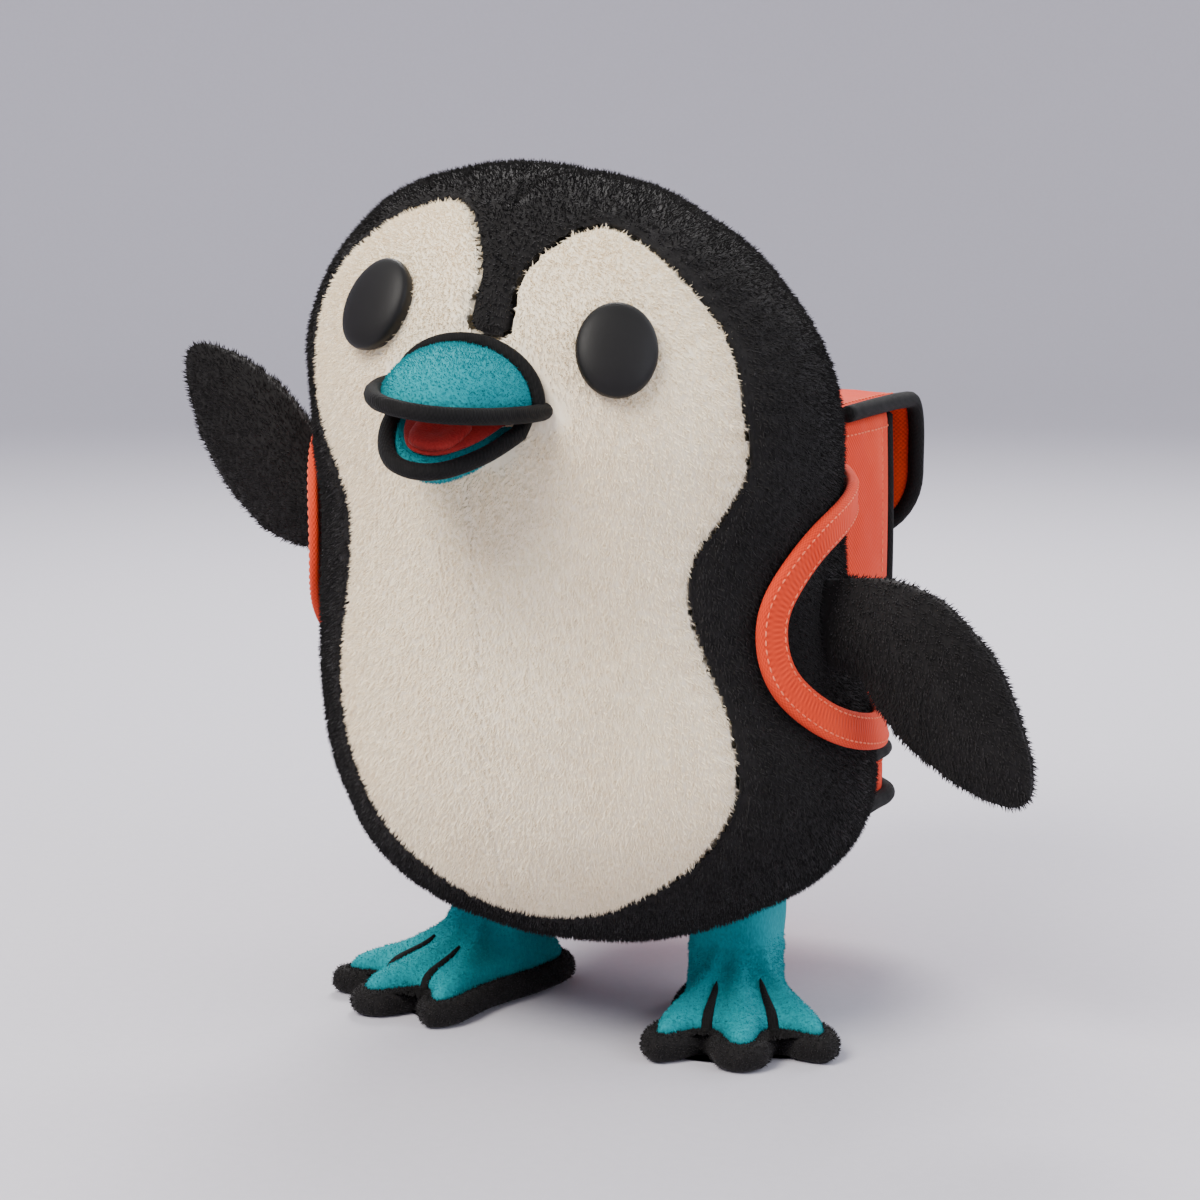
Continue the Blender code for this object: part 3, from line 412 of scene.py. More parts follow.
front = body
front.name = "body_front"
back = bpy.data.objects.new("body_back", body.data.copy())
bpy.context.scene.collection.objects.link(back)
panel_tool = skin("panel_tool", [[leaned((p.x, y, p.y)) for p in panel_edge] for y in (-0.16, -0.008)],
                  CREAM_PLUSH)
cut(front, panel_tool, "INTERSECT")
cut(back, panel_tool)
bpy.data.objects.remove(panel_tool)
for piece, cloth in ((front, CREAM_PLUSH), (back, BLACK_PLUSH)):
    piece.data.materials.clear()
    piece.data.materials.append(cloth)

# the seams: the cloth dips to each one and puckers beside it
edge_seen = np.array([tuple(leaned((p.x, 0, p.y)).xz) for p in panel_edge])


def to_polyline(points, line, closed=True):
    """Distance of 2-D points from a line, and how far along it they are."""
    ends = np.roll(line, -1, axis=0) if closed else line[1:]
    starts = line if closed else line[:-1]
    best = np.full(len(points), 1e9)
    run = np.zeros(len(points))
    total = 0.0
    for a, b in zip(starts, ends):
        along = b - a
        size = max(float(np.hypot(*along)), 1e-9)
        t = np.clip(((points - a) @ along) / size**2, 0, 1)
        d = np.hypot(*(points - a - t[:, None] * along).T)
        nearer = d < best
        best[nearer] = d[nearer]
        run[nearer] = total + t[nearer] * size
        total += size
    return best, run


def dip(piece, distance, run, depth=0.0016, width=0.0022, pucker=0.0003, pitch=0.007):
    amount = depth * np.exp(-(distance / width) ** 2)
    amount = amount + pucker * np.sin(run * 2 * np.pi / pitch) * np.exp(-((distance - 0.003) / 0.0035) ** 2)
    put(piece, places(piece) - normals(piece) * amount[:, None])


for piece in (front, back):
    co = places(piece)
    away, run = to_polyline(co[:, 0::2], edge_seen)
    away = np.where(co[:, 1] < BODY_Y + FRONT_SEAM_DEEP, away, 1.0)
    dip(piece, away, run)
co = places(back)
spine = np.array([tuple(leaned((0, 0, z)).xz) for z in np.linspace(0.04, 0.2949, 60)])
spine_away, spine_run = to_polyline(co[:, 0::2], spine, closed=False)
behind = (co[:, 1] > BODY_Y + FRONT_SEAM_DEEP) | (co[:, 2] > 0.283)
dip(back, np.where(behind, spine_away, 1.0), spine_run)
for piece in (front, back):
    piece.data.shade_smooth()

# ======================================================================
# The body's pile
# Fibres about 2 mm long stand all over the plush and lie a little downwards. None stand under the
# straps, the rucksack, the eyes or the beak, and few along the seams.
# ======================================================================
def planted(tree, add, given, spots, thing, aim, size, label):
    """Stands a thing on every spot, turned along aim, as real geometry in the given material."""
    turn = add("FunctionNodeAlignRotationToVector", {"Vector": aim}, axis="Z")
    stand = add("GeometryNodeInstanceOnPoints", {"Points": spots, "Instance": thing, "Rotation": turn,
                                                 "Scale": size})
    real = add("GeometryNodeRealizeInstances", {0: stand})
    dyed = add("GeometryNodeSetMaterial", {"Geometry": real, "Material": given["Material"]})
    return group_ends(tree, {label: (GEOMETRY, dyed)})


def pile_tree():
    """Fibres that stand on a surface where it is covered, combed one way and scattered a little."""
    tree, add, given = group("short_pile", {
        "Surface": (GEOMETRY, None), "Density": (FLOAT, 4e5), "Length": (FLOAT, 0.002),
        "Width": (FLOAT, 0.0003), "Comb": (VECTOR, (0, 0, -1)), "Scatter": (FLOAT, 0.5),
        "Seed": ("NodeSocketInt", 1), "Material": (MATERIAL, None)}, "GeometryNodeTree")
    cover = add("GeometryNodeInputNamedAttribute", {"Name": "cover"}, "Attribute", data_type="FLOAT")
    spots = add("GeometryNodeDistributePointsOnFaces", {
        "Mesh": given["Surface"], "Density": maths(add, "MULTIPLY", cover, given["Density"]),
        "Seed": given["Seed"]})
    stray = add("FunctionNodeRandomValue", {0: (-1, -1, -1), 1: (1, 1, 1), "Seed": given["Seed"]},
                data_type="FLOAT_VECTOR")
    scattered = add("ShaderNodeVectorMath", {0: stray, "Scale": given["Scatter"]}, operation="SCALE")
    combed = add("ShaderNodeVectorMath", {0: spots.node.outputs["Normal"], 1: given["Comb"]})
    aim = add("ShaderNodeVectorMath", {0: combed, 1: scattered})
    fibre = add("GeometryNodeMeshCone", {
        "Vertices": 3, "Side Segments": 1, "Radius Top": 0, "Radius Bottom": given["Width"],
        "Depth": given["Length"]}, fill_type="NONE")
    tall = add("FunctionNodeRandomValue", {2: 0.6, 3: 1.15, "Seed": given["Seed"]}, 1, data_type="FLOAT")
    return planted(tree, add, given, spots, fibre, aim, tall, "Pile")


PILE_TREE = pile_tree()


def grown(name, tree, surface, values):
    """What a tree makes on a copy of a surface, as a plain mesh of its own."""
    carrier = bpy.data.objects.new(name, surface.data.copy())
    bpy.context.scene.collection.objects.link(carrier)
    modifier = carrier.modifiers.new("made", "NODES")
    modifier.node_group = tree
    for item in tree.interface.items_tree:
        if item.in_out == "INPUT" and item.name in values:
            modifier[item.identifier] = values[item.name]
    return baked(carrier)


def set_cover(piece, cover):
    attribute = piece.data.attributes.get("cover") or piece.data.attributes.new("cover", "FLOAT", "POINT")
    attribute.data.foreach_set("value", np.asarray(cover, np.float32))


def clear_of(co, nodes, near=0.0016, far=0.0034):
    """0 close to the named CAD nodes, and 1 away from them."""
    cover = np.ones(len(co))
    for name in nodes:
        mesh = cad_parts[name].data
        tree = BVHTree.FromPolygons([v.co for v in mesh.vertices], [p.vertices for p in mesh.polygons])
        low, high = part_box(name)
        near_box = np.all((co > np.array(low) - far) & (co < np.array(high) + far), axis=1)
        for i in np.nonzero(near_box)[0]:
            d = tree.find_nearest(Vector(co[i]), far)[3]
            if d is not None:
                cover[i] = min(cover[i], max(0.0, (d - near) / (far - near)))
    return cover


SEWN_ON = ["strap_left", "strap_right", "bag_shell", "eye_left", "eye_right", "bag_base_piping"]
BEAK_PARTS = ["beak_upper", "beak_lower", "beak_upper_piping", "beak_lower_piping"]
PILE_SCALE = 1.0


def grow_pile(name, surface, material, density, length, width, comb, scatter, seed):
    return grown(name, PILE_TREE, surface, {
        "Density": density * PILE_SCALE, "Length": length, "Width": width, "Comb": comb, "Scatter": scatter,
        "Seed": seed, "Material": material})


def body_covers(piece):
    co = places(piece)
    away, _ = to_polyline(co[:, 0::2], edge_seen)
    seam = np.where(co[:, 1] < BODY_Y + FRONT_SEAM_DEEP, np.clip((away - 0.0008) / 0.0015, 0, 1), 1.0)
    facing = normals(piece)
    outward = co - np.array([BODY_X, BODY_Y, 0.15])
    skinward = np.einsum("ij,ij->i", facing, outward) > 0
    legs = np.ones(len(co))
    for x in (BODY_X - HIP_X, BODY_X + HIP_X):
        aside, ahead = abs(co[:, 0] - x), abs(co[:, 1] - hip_y)
        legs[(aside < 0.018) & (ahead < 0.020) & (co[:, 2] < 0.062)] = 0
    return seam * skinward * legs * clear_of(co, SEWN_ON) * clear_of(co, BEAK_PARTS, 0.0040, 0.0065)


BLACK_FIBRE = pile_cloth("black_fibre", (0.009, 0.0085, 0.0085), (0.030, 0.028, 0.028), sheen=0.12,
                         sheen_tint=(0.75, 0.72, 0.72), specular=0.15, strength=0.1)
CREAM_FIBRE = pile_cloth("cream_fibre", (0.94, 0.82, 0.62), (1.0, 0.94, 0.78), sheen=0.15, strength=0.1,
                         sheen_tint=(1.0, 0.95, 0.85))
DOWN = (0.0, -0.1, -0.55)

for cloth, fibre, slot, amount, length, seed in (
        (front, CREAM_FIBRE, "cream_plush", 1.5e6, 0.0021, 3),
        (back, BLACK_FIBRE, "black_plush", 1.0e6, 0.0022, 5)):
    cover = body_covers(cloth)
    side_x = places(cloth)[:, 0] - BODY_X
    for side, share in (("left", side_x > 0), ("right", side_x <= 0)):
        set_cover(cloth, cover * share)
        pile = grow_pile("%s_%s_pile" % (cloth.name, side), cloth, fibre, amount, length, 0.00027, DOWN, 0.42,
                         seed)
        dress(pile, "torso", slot)
dress(front, "torso", "cream_plush", "torso_front", fill=0.85)
dress(back, "torso", "black_plush", "torso_back_left", "torso_back_right", "torso_base", "torso_stuffing",
      fill=0.85)

# ======================================================================
# Inside the body
# A pouch of pellets weights the base. The eyes' washers and the hips' discs and lock rings are moulded
# plastic, pressed onto their stems behind the cloth.
# ======================================================================
def moulded(name, colour, roughness, grain=0.0015, strength=0.06, mottle=0.06):
    """Moulded plastic: fine grain, and a gloss that varies slightly."""
    made, add = new_material(name)
    speck = add("ShaderNodeTexNoise", {"Scale": 1 / grain, "Vector": add("ShaderNodeTexCoord", out="Object")})
    paler = tuple(min(1, c * 1.15 + 0.002) for c in colour)
    return coat(made, {"Base Color": mixed(add, speck, colour, paler),
                       "Roughness": ranged(add, speck, end=(roughness - mottle, roughness + mottle)),
                       "Normal": raised(add, speck, strength, 0.0002)})


WHITE_PLASTIC = moulded("white_plastic", (0.78, 0.78, 0.75), 0.42)
BLACK_PLASTIC = moulded("black_plastic", (0.006, 0.0055, 0.0055), 0.40)
POUCH_CLOTH = pile_cloth("pouch_cloth", (0.55, 0.52, 0.46), (0.72, 0.69, 0.62), tuft=0.0007, depth=0.0002,
                         sheen=0.1)
plastic_nodes = [part + side for part in ("eye_washer_", "hip_disc_", "hip_lock_")
                 for side in ("left", "right")]
for name, material in [("bead_bag", POUCH_CLOTH)] + [(name, WHITE_PLASTIC) for name in plastic_nodes]:
    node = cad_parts[name]
    node.data.materials.clear()
    node.data.materials.append(material)

# ======================================================================
# Eyes
# Flat black ovals with a satin face, set on shanks through the cloth, the left one turned away a little.
# ======================================================================
EYE_SPREAD, EYE_Z, EYE_W, EYE_H, EYE_RISE = radians(28), 0.246, 0.013, 0.0155, 0.0052
BLACK_EYE = coat(moulded("black_eye", (0.006, 0.0055, 0.0055), 0.50, grain=0.0008, strength=0.04),
                 {"Specular IOR Level": 0.2})
for side, turn in (("left", EYE_SPREAD), ("right", -EYE_SPREAD)):
    point, out = body_frame(FACE_TURN + turn, EYE_Z)
    up = Vector((sin(HEAD_TIP), 0, cos(HEAD_TIP)))
    across = up.cross(out).normalized()
    up = out.cross(across).normalized()
    levels = [(0.90, -0.0030), (0.97, -0.0010), (1.0, 0.0006), (0.995, 0.0016)]
    levels += [(cos(radians(a)) ** 0.85, 0.0016 + (EYE_RISE - 0.0016) * sin(radians(a)))
               for a in (12, 24, 36, 48, 60, 72, 82)]
    rings = [[point + out * h + across * EYE_W * s * cos(a) + up * EYE_H * s * sin(a)
              for a in angles(56)] for s, h in levels]
    eye = skin("black_eye_" + side, rings, BLACK_EYE, None, point + out * EYE_RISE)
    dress(eye, "torso", "black_plastic", "eye_" + side)

# ======================================================================
# Beak
# Two padded halves of brushed teal fleece. A thick black cord is sewn round the rim of each and round
# the upper one's root on the face. Red felt lines the mouth, and a felt tongue lies on the lower half.
# ======================================================================
BEAK_AT, BEAK_Z, BEAK_WIDE, BEAK_LONG, BEAK_HIGH = radians(3), 0.224, 0.0225, 0.040, 0.0175
JAW_DROP, JAW_WIDE, JAW_LONG, JAW_DEEP = radians(24), 0.0185, 0.033, 0.0138
RIM_CORD, FELT = 0.0027, 0.0009
face_point, _ = body_frame(BEAK_AT, BEAK_Z)
beak_place = (Matrix.Translation(face_point) @ Matrix.Rotation(HEAD_TIP, 4, "Y")
              @ Matrix.Rotation(pi + BEAK_AT, 4, "Z"))
jaw_root = Vector((0, 0.006, -0.0035))
jaw_place = (beak_place @ Matrix.Translation(jaw_root) @ Matrix.Rotation(-JAW_DROP, 4, "X")
             @ Matrix.Translation(-jaw_root))
TEAL_FLEECE = pile_cloth("teal_fleece", (0.004, 0.20, 0.235), (0.012, 0.33, 0.37), contrast=0.75, patch=0.016,
                         tuft=0.0008, depth=0.0004, sheen=0.08, sheen_tint=(0.3, 0.9, 1.0), specular=0.15)
TEAL_FIBRE = pile_cloth("teal_fibre", (0.004, 0.22, 0.255), (0.014, 0.38, 0.42), contrast=0.8, patch=0.016,
                        tuft=0.0008, sheen=0.06, sheen_tint=(0.3, 0.9, 1.0), strength=0.1, specular=0.1)
RED_FELT = pile_cloth("red_felt", (0.30, 0.012, 0.012), (0.48, 0.04, 0.03), contrast=0.9, patch=0.006,
                      tuft=0.0006, depth=0.0003, sheen=0.3, sheen_tint=(1, 0.6, 0.55))


def beak_plan(wide, long, back):
    half = [(0.0, long), (0.42 * wide, 0.90 * long), (0.80 * wide, 0.55 * long), (wide, 0.12 * long),
            (wide, 0.6 * back), (0.9 * wide, back), (0.0, back)]
    return closed_curve(half + [(-x, y) for x, y in reversed(half[1:-1])], 8)


def moved_out(outline, distance):
    """A closed 2-D outline moved outwards."""
    area = sum(a.x * b.y - a.y * b.x for a, b in zip(outline, outline[1:] + outline[:1]))
    sign = -1 if area > 0 else 1
    out = []
    for i, p in enumerate(outline):
        along = (outline[(i + 1) % len(outline)] - outline[i - 1]).normalized()
        out.append(p + Vector((-along.y, along.x)) * sign * distance)
    return out


def beak_half(name, plan, centre, base, rise, place):
    """A padded half: flat on its mouth side at height base, and domed by rise (down where it is negative)."""
    levels = [(0.5, 0.0002 * copysign(1, rise)), (0.92, 0.0), (0.985, 0.03 * rise)]
    levels += [(cos(radians(a)), rise * sin(radians(a))) for a in range(6, 88, 9)]
    rings = [[place @ Vector((*(centre + (p - centre) * s), base + h)) for p in plan] for s, h in levels]
    tips = [place @ Vector((*centre, h)) for h in (base, base + rise)]
    return skin(name, rings, TEAL_FLEECE, *tips)


def cord_tube(name, path, radius, material, sides=12):
    """A round cord along points, with rounded ends."""
    rings, up = [], None
    for before, centre, after in zip([path[0], *path], path, [*path[1:], path[-1]]):
        along = (after - before).normalized()
        up = along.orthogonal().normalized() if up is None else (up - along * up.dot(along)).normalized()
        side = along.cross(up)
        rings.append([centre + (up * cos(a) + side * sin(a)) * radius for a in angles(sides)])

    def rounding(ring, centre, nearer):
        outwards = (centre - nearer).normalized()
        return [[centre + outwards * radius * (1 - b) * 0.6 + (q - centre) * sqrt(b) for q in ring]
                for b in (0.35, 0.75)]

    return skin(name, rounding(rings[0], path[0], path[1]) + rings
                + rounding(rings[-1], path[-1], path[-2])[::-1], material)


def woven_group():
    """Plain weave on two cloth directions, for threads of one size: colour with painted shade where the threads
    dip, height and wear.
    """
    tree, add, given = group("weave", {
        "Place": (VECTOR, (0, 0, 0)), "Thread": (FLOAT, 0.0008), "Colour": (COLOUR, (0.5, 0.5, 0.5, 1)),
        "Lit": (COLOUR, (1, 1, 1, 1)), "Shade": (COLOUR, (0, 0, 0, 1))})
    waves = maths(add, "DIVIDE", pi, given["Thread"])
    across = add("ShaderNodeVectorMath", {0: given["Place"], "Scale": waves}, operation="SCALE")
    apart = add("ShaderNodeSeparateXYZ", {0: across}).node.outputs
    over = maths(add, "MULTIPLY", maths(add, "SINE", apart["X"]), maths(add, "SINE", apart["Y"]))
    height = ranged(add, over, (-1, 1))
    slub, fade = [add("ShaderNodeTexNoise", {"Scale": scale, "Detail": detail, "Vector": given["Place"]})
                  for scale, detail in ((160, 4), (22, 3))]
    # painted shade: the low parts of the weave, between the threads' crossings, are painted in the shade colour
    threads = mixed(add, height, given["Shade"], given["Colour"])
    worn = ranged(add, fade, (0.42, 0.72), (0, 0.45))
    return group_ends(tree, {"Colour": (COLOUR, mixed(add, worn, threads, given["Lit"])),
                             "Height": (FLOAT, maths(add, "MULTIPLY_ADD", slub, 0.5, height)),
                             "Roughness": (FLOAT, ranged(add, slub, end=(0.68, 0.92)))})


WEAVE = woven_group()


# shade is the painted shade colour in the dips of the weave
def woven_cloth(name, colour, lit, shade, thread, depth=0.00025, uv=False, sheen=0.12, turn=(0, 0, 0)):
    made, add = new_material(name)
    where = add("ShaderNodeUVMap" if uv else "ShaderNodeTexCoord", out="UV" if uv else "Object")
    place = add("ShaderNodeMapping", {"Rotation": turn, "Vector": where})
    weave = add("ShaderNodeGroup", {"Place": place, "Thread": thread, "Colour": colour, "Lit": lit,
                                    "Shade": shade}, node_tree=WEAVE).node.outputs
    return coat(made, {
        "Base Color": weave["Colour"], "Roughness": weave["Roughness"],
        "Normal": raised(add, weave["Height"], 0.6, depth), "Sheen Weight": sheen, "Sheen Roughness": 0.5,
        "Specular IOR Level": 0.12})


BLACK_PIPING = woven_cloth("black_piping", (0.0075, 0.007, 0.007), (0.014, 0.013, 0.013), (0.003, 0.003, 0.003),
                           0.0006, turn=(0.5, 0.3, 0.8), sheen=0.02)

upper_plan = beak_plan(BEAK_WIDE, BEAK_LONG, -0.016)
jaw_plan = beak_plan(JAW_WIDE, JAW_LONG, 0.0035)
upper = beak_half("beak_top", upper_plan, Vector((0, 0.004)), 0.0, BEAK_HIGH, beak_place)
lower = beak_half("beak_jaw", jaw_plan, Vector((0, 0.0125)), -0.0065, -JAW_DEEP, jaw_place)


def rim(plan, out, height, place, behind, root):
    """The line of the cord round the open edge, with its two ends led back into the face at root."""
    kept = sorted((p for p in moved_out(plan, out) if p.y > behind),
                  key=lambda p: atan2(p.x, p.y - behind + 0.002))
    ends = [[Vector((kept[i].x * (1 - 0.14 * k), behind + (root - behind) * k)) for k in (0.35, 0.7, 1.0)]
            for i in (0, -1)]
    return [place @ Vector((p.x, p.y, height)) for p in ends[0][::-1] + kept + ends[1]]


upper_cord = cord_tube("beak_top_cord", rim(upper_plan, RIM_CORD - 0.0002, 0.0008, beak_place, -0.004, -0.016),
                       RIM_CORD, BLACK_PIPING)
lower_cord = cord_tube("beak_jaw_cord", rim(jaw_plan, RIM_CORD - 0.0002, -0.0072, jaw_place, 0.004, -0.008),
                       RIM_CORD, BLACK_PIPING)
body_tree = BVHTree.FromPolygons(
    [body_point(a, z) for z in profile[1:-1] for a in turns],
    [(low + j, low + (j + 1) % TURNS, low + TURNS + (j + 1) % TURNS, low + TURNS + j)
     for low in range(0, (len(profile) - 3) * TURNS, TURNS) for j in range(TURNS)])


def on_face(place, x, h, lift):
    """The point of the face straight behind a point of the beak."""
    back_way = (place.to_3x3() @ Vector((0, -1, 0))).normalized()
    hit, out, _, _ = body_tree.ray_cast(place @ Vector((x, 0.05, h)), back_way)
    out = out if out.dot(back_way) < 0 else -out
    return hit + out * lift


def root_cord(name, place, wide, base, rise, grow, radius):
    path = [on_face(place, (wide + grow) * cos(radians(a)), base + (rise + copysign(grow, rise))
                    * sin(radians(a)), radius * 0.45) for a in range(0, 181, 6)]
    return cord_tube(name, path, radius, BLACK_PIPING)


upper_root = root_cord("beak_top_root_cord", beak_place, BEAK_WIDE, 0.0, BEAK_HIGH * 0.95, 0.0012, 0.0025)
lining = []
for name, plan, height, place, back_edge in (("mouth_roof", upper_plan, -0.0009, beak_place, -0.002),
                                             ("mouth_floor", jaw_plan, -0.0056, jaw_place, 0.004)):
    shape = [Vector((p.x * 0.86, max(p.y * 0.86, back_edge))) for p in plan if p.y > back_edge - 0.006]
    rings = [[place @ Vector((p.x * s, p.y if p.y < 0.006 else 0.006 + (p.y - 0.006) * s, height + h))
              for p in shape] for s, h in ((0.98, -FELT / 2), (1, 0), (0.98, FELT / 2))]
    lining.append(skin(name, rings, RED_FELT))
TONGUE_Y = 0.0185
tongue_levels = [(0.9, -0.0054), (1.0, -0.0046), (0.98, -0.0034), (0.85, -0.0026), (0.6, -0.0022),
                 (0.3, -0.0026)]
tongue_shape = closed_curve([(0, 0.0275), (0.0062, 0.0250), (0.0084, TONGUE_Y), (0.0078, 0.0100), (0, 0.0085),
                             (-0.0078, 0.0100), (-0.0084, TONGUE_Y), (-0.0062, 0.0250)], 5)
tongue_rings = [[jaw_place @ Vector((p.x * s, TONGUE_Y + (p.y - TONGUE_Y) * s, h)) for p in tongue_shape]
                for s, h in tongue_levels]
tongue = skin("felt_tongue", tongue_rings, RED_FELT, None, jaw_place @ Vector((0, TONGUE_Y, -0.0030)))

FORWARD = tuple(0.5 * c for c in (beak_place.to_3x3() @ Vector((0, 1, 0))))
for half, name, seed, body_name in ((upper, "beak_top_pile", 7, "torso"), (lower, "beak_jaw_pile", 8, "jaw")):
    set_cover(half, np.ones(len(half.data.vertices)))
    pile = grow_pile(name, half, TEAL_FIBRE, 2.2e6, 0.0009, 0.00016, FORWARD, 0.5, seed)
    dress(pile, body_name, "teal_fleece")
dress(upper, "torso", "teal_fleece", "beak_upper", fill=0.9)
dress(lower, "jaw", "teal_fleece", "beak_lower", fill=0.9)
dress(upper_cord, "torso", "black_cord", "beak_upper_piping")
dress(lower_cord, "jaw", "black_cord", "beak_lower_piping")
dress(upper_root, "torso", "black_cord")
dress(lining[0], "torso", "red_felt", "mouth_lining_upper")
dress(lining[1], "jaw", "red_felt", "mouth_lining_lower")
dress(tongue, "jaw", "red_felt", "tongue")

# ======================================================================
# Wings
# Each is one stuffed leaf of black plush with a seam round its edge. Its root is sewn to the body's side
# and bends there: the right one is raised and the left one hangs.
# ======================================================================
WING_HALF = [(0.000, 0.0170), (0.012, 0.0178), (0.024, 0.0204), (0.040, 0.0230), (0.056, 0.0226),
             (0.071, 0.0188), (0.083, 0.0138), (0.0915, 0.0088), (0.0958, 0.0045), (0.0975, 0.0010)]
WING_THICK, WING_BEND, WING_LONG, WING_OUT = 0.0088, (0.008, 0.040), 0.0975, 0.0212
SHOULDER_Z, WING_ANGLE, EDGE_ON = 0.160, radians(50), 0.75
wing_edge = np.array([tuple(p) for p in open_curve(WING_HALF, 10)])

for side, out, angle in (("left", 1, -WING_ANGLE), ("right", -1, WING_ANGLE)):
    shoulder = body_point(out * pi / 2, SHOULDER_Z)
    spot, steps, rings = shoulder - Vector((out * 0.0038, 0, 0)), 120, []
    for i in range(steps):
        s = WING_LONG * i / steps
        turn = angle * ease((s - WING_BEND[0]) / (WING_BEND[1] - WING_BEND[0]))
        along = Vector((out * cos(turn), 0, sin(turn)))
        across = Vector((-out * sin(turn), 0, cos(turn)))
        half = float(np.interp(s, wing_edge[:, 0], wing_edge[:, 1]))
        thick = WING_THICK * min(1.0, (half / 0.0200) ** 0.6) * (1 - 0.1 * ease((s - 0.05) / 0.045))
        if i % 2 == 0:
            rings.append([spot + across * half * cos(a) + Vector((0, thick * sin(a), 0))
                          for a in angles(40)])
        spot = spot + along * WING_LONG / steps
    wing = skin("wing_" + side, rings, BLACK_PLUSH, None, spot)
    stuff(wing, 0.0022, 0.0010, 0.0012)
    lumps(wing, 0.0006, 0.016)
    co, facing = places(wing), normals(wing)
    on_edge = abs(facing[:, 1]) < EDGE_ON
    from_seam = np.where(on_edge, abs(co[:, 1] - shoulder.y), 1.0)
    dip(wing, from_seam, co[:, 0] + co[:, 2], depth=0.0010, width=0.0014, pucker=0.0)
    co = places(wing)
    clear = np.clip((out * (co[:, 0] - shoulder.x) - 0.001) / 0.003, 0, 1)
    seam = np.where(on_edge, np.clip((abs(co[:, 1] - shoulder.y) - 0.0003) / 0.0008, 0, 1), 1.0)
    set_cover(wing, clear * seam)
    reach = Vector((out * cos(angle), 0, sin(angle)))
    comb = (0.6 * out * cos(angle), 0, 0.6 * sin(angle))
    wing_pile = grow_pile("wing_%s_pile" % side, wing, BLACK_FIBRE, 1.1e6, 0.0020, 0.00026, comb, 0.42, 11)
    for piece in (wing, wing_pile):
        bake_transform(piece)
    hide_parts("wing_%s_front" % side, "wing_%s_back" % side, "wing_%s_stuffing" % side)

# ======================================================================
# Legs and feet
# Teal fleece boots, stuffed, on a black plush roll that forms the sole and shows all round the three
# toes. The gaps between the toes are worked in thick black thread. The legs turn on discs at the hips.
# ======================================================================
FOOT_HALF = [(0.055, 0.0), (0.050, 0.0085), (0.037, 0.0120), (0.042, 0.0190), (0.045, 0.0290), (0.034, 0.0330),
             (0.012, 0.0250), (-0.014, 0.0205), (-0.032, 0.0135), (-0.038, 0.0)]
HIP_LOCAL_Y, DRUM, SHANK_DEEP, DRUM_HALF = 0.012, 0.0162, 0.0132, 0.0150
CROWN_IN, ROLL_TOP, LEG_SIDES, TOE_OUT, FOOT_AHEAD = 0.0052, 0.0084, 160, radians(25), 0.008


def on_floor(ahead, aside):
    """A point of the left foot's plan, turned out with its toes."""
    return (Vector((sin(TOE_OUT), -cos(TOE_OUT))) * (ahead + FOOT_AHEAD)
            + Vector((cos(TOE_OUT), sin(TOE_OUT))) * aside)


def foot_plan(per_span):
    """The left foot's outline on the floor, about the middle of its leg."""
    control = FOOT_HALF + [(u, -v) for u, v in reversed(FOOT_HALF[1:-1])]
    return [on_floor(p.x, p.y) for p in closed_curve(control, per_span)]


def farthest(polygon, d):
    """How far from the leg's middle the polygon is in direction d."""
    best = 0.0
    for a, b in zip(polygon, polygon[1:] + polygon[:1]):
        along = b - a
        cross = d.x * along.y - d.y * along.x
        if abs(cross) > 1e-12:
            t, share = (a.x * along.y - a.y * along.x) / cross, (a.x * d.y - a.y * d.x) / cross
            if -1e-6 <= share <= 1 + 1e-6:
                best = max(best, t)
    return best


crown_plan = closed_curve([tuple(p) for p in moved_out(foot_plan(3), -CROWN_IN)], 3)
roll_plan = foot_plan(7)
leg_ways = [Vector((cos(a), sin(a))) for a in angles(LEG_SIDES)]
crown = [d * farthest(crown_plan, d) for d in leg_ways]
crown = [(crown[i - 1] + crown[i] * 2 + crown[(i + 1) % LEG_SIDES]) / 4 for i in range(LEG_SIDES)]
rise = [(0.9, 0.0070), (1.0, 0.0080), (1.005, 0.0092), (0.99, 0.0106), (0.95, 0.0120), (0.88, 0.0133),
        (0.78, 0.0144), (0.66, 0.0155), (0.53, 0.0167), (0.40, 0.0182), (0.27, 0.0202), (0.16, 0.0226),
        (0.07, 0.0256), (0.02, 0.0283)]


def squared(d, half_x, half_y):
    return d * (abs(d.x / half_x) ** 4 + abs(d.y / half_y) ** 4) ** -0.25


def toe_line(name, leg, start, end, side):
    """A worked line from the gap between two toes up over the foot."""
    tree = BVHTree.FromPolygons([v.co for v in leg.data.vertices], [p.vertices for p in leg.data.polygons])
    count, rings = 16, []
    path = []
    for i in range(count + 1):
        p = start.lerp(end, i / count)
        hit = tree.ray_cast(Vector((p.x, p.y, 0.03)), Vector((0, 0, -1)))
        path.append((hit[0] if hit[0] else Vector((p.x, p.y, 0.008)), hit[1] if hit[0] else Vector((0, 0, 1))))
    for i, (spot, facing) in enumerate(path):
        along = (path[min(i + 1, count)][0] - path[max(i - 1, 0)][0]).normalized()
        across = along.cross(facing).normalized()
        up = across.cross(along).normalized()
        up = up if up.z > 0 else -up
        half = 0.0022 * (1 - 0.6 * i / count) * (0.4 + 0.6 * sin(pi * min(1, (i + 0.6) / 3) / 2))
        half *= sqrt(min(1.0, (count + 0.4 - i) / 2.5))
        rings.append([spot + across * half * cos(a) + up * (0.0011 * sin(a) + 0.0001)
                      for a in angles(12)])
    dress(skin(name, rings, BLACK_PIPING), "leg_" + side, "black_cord")


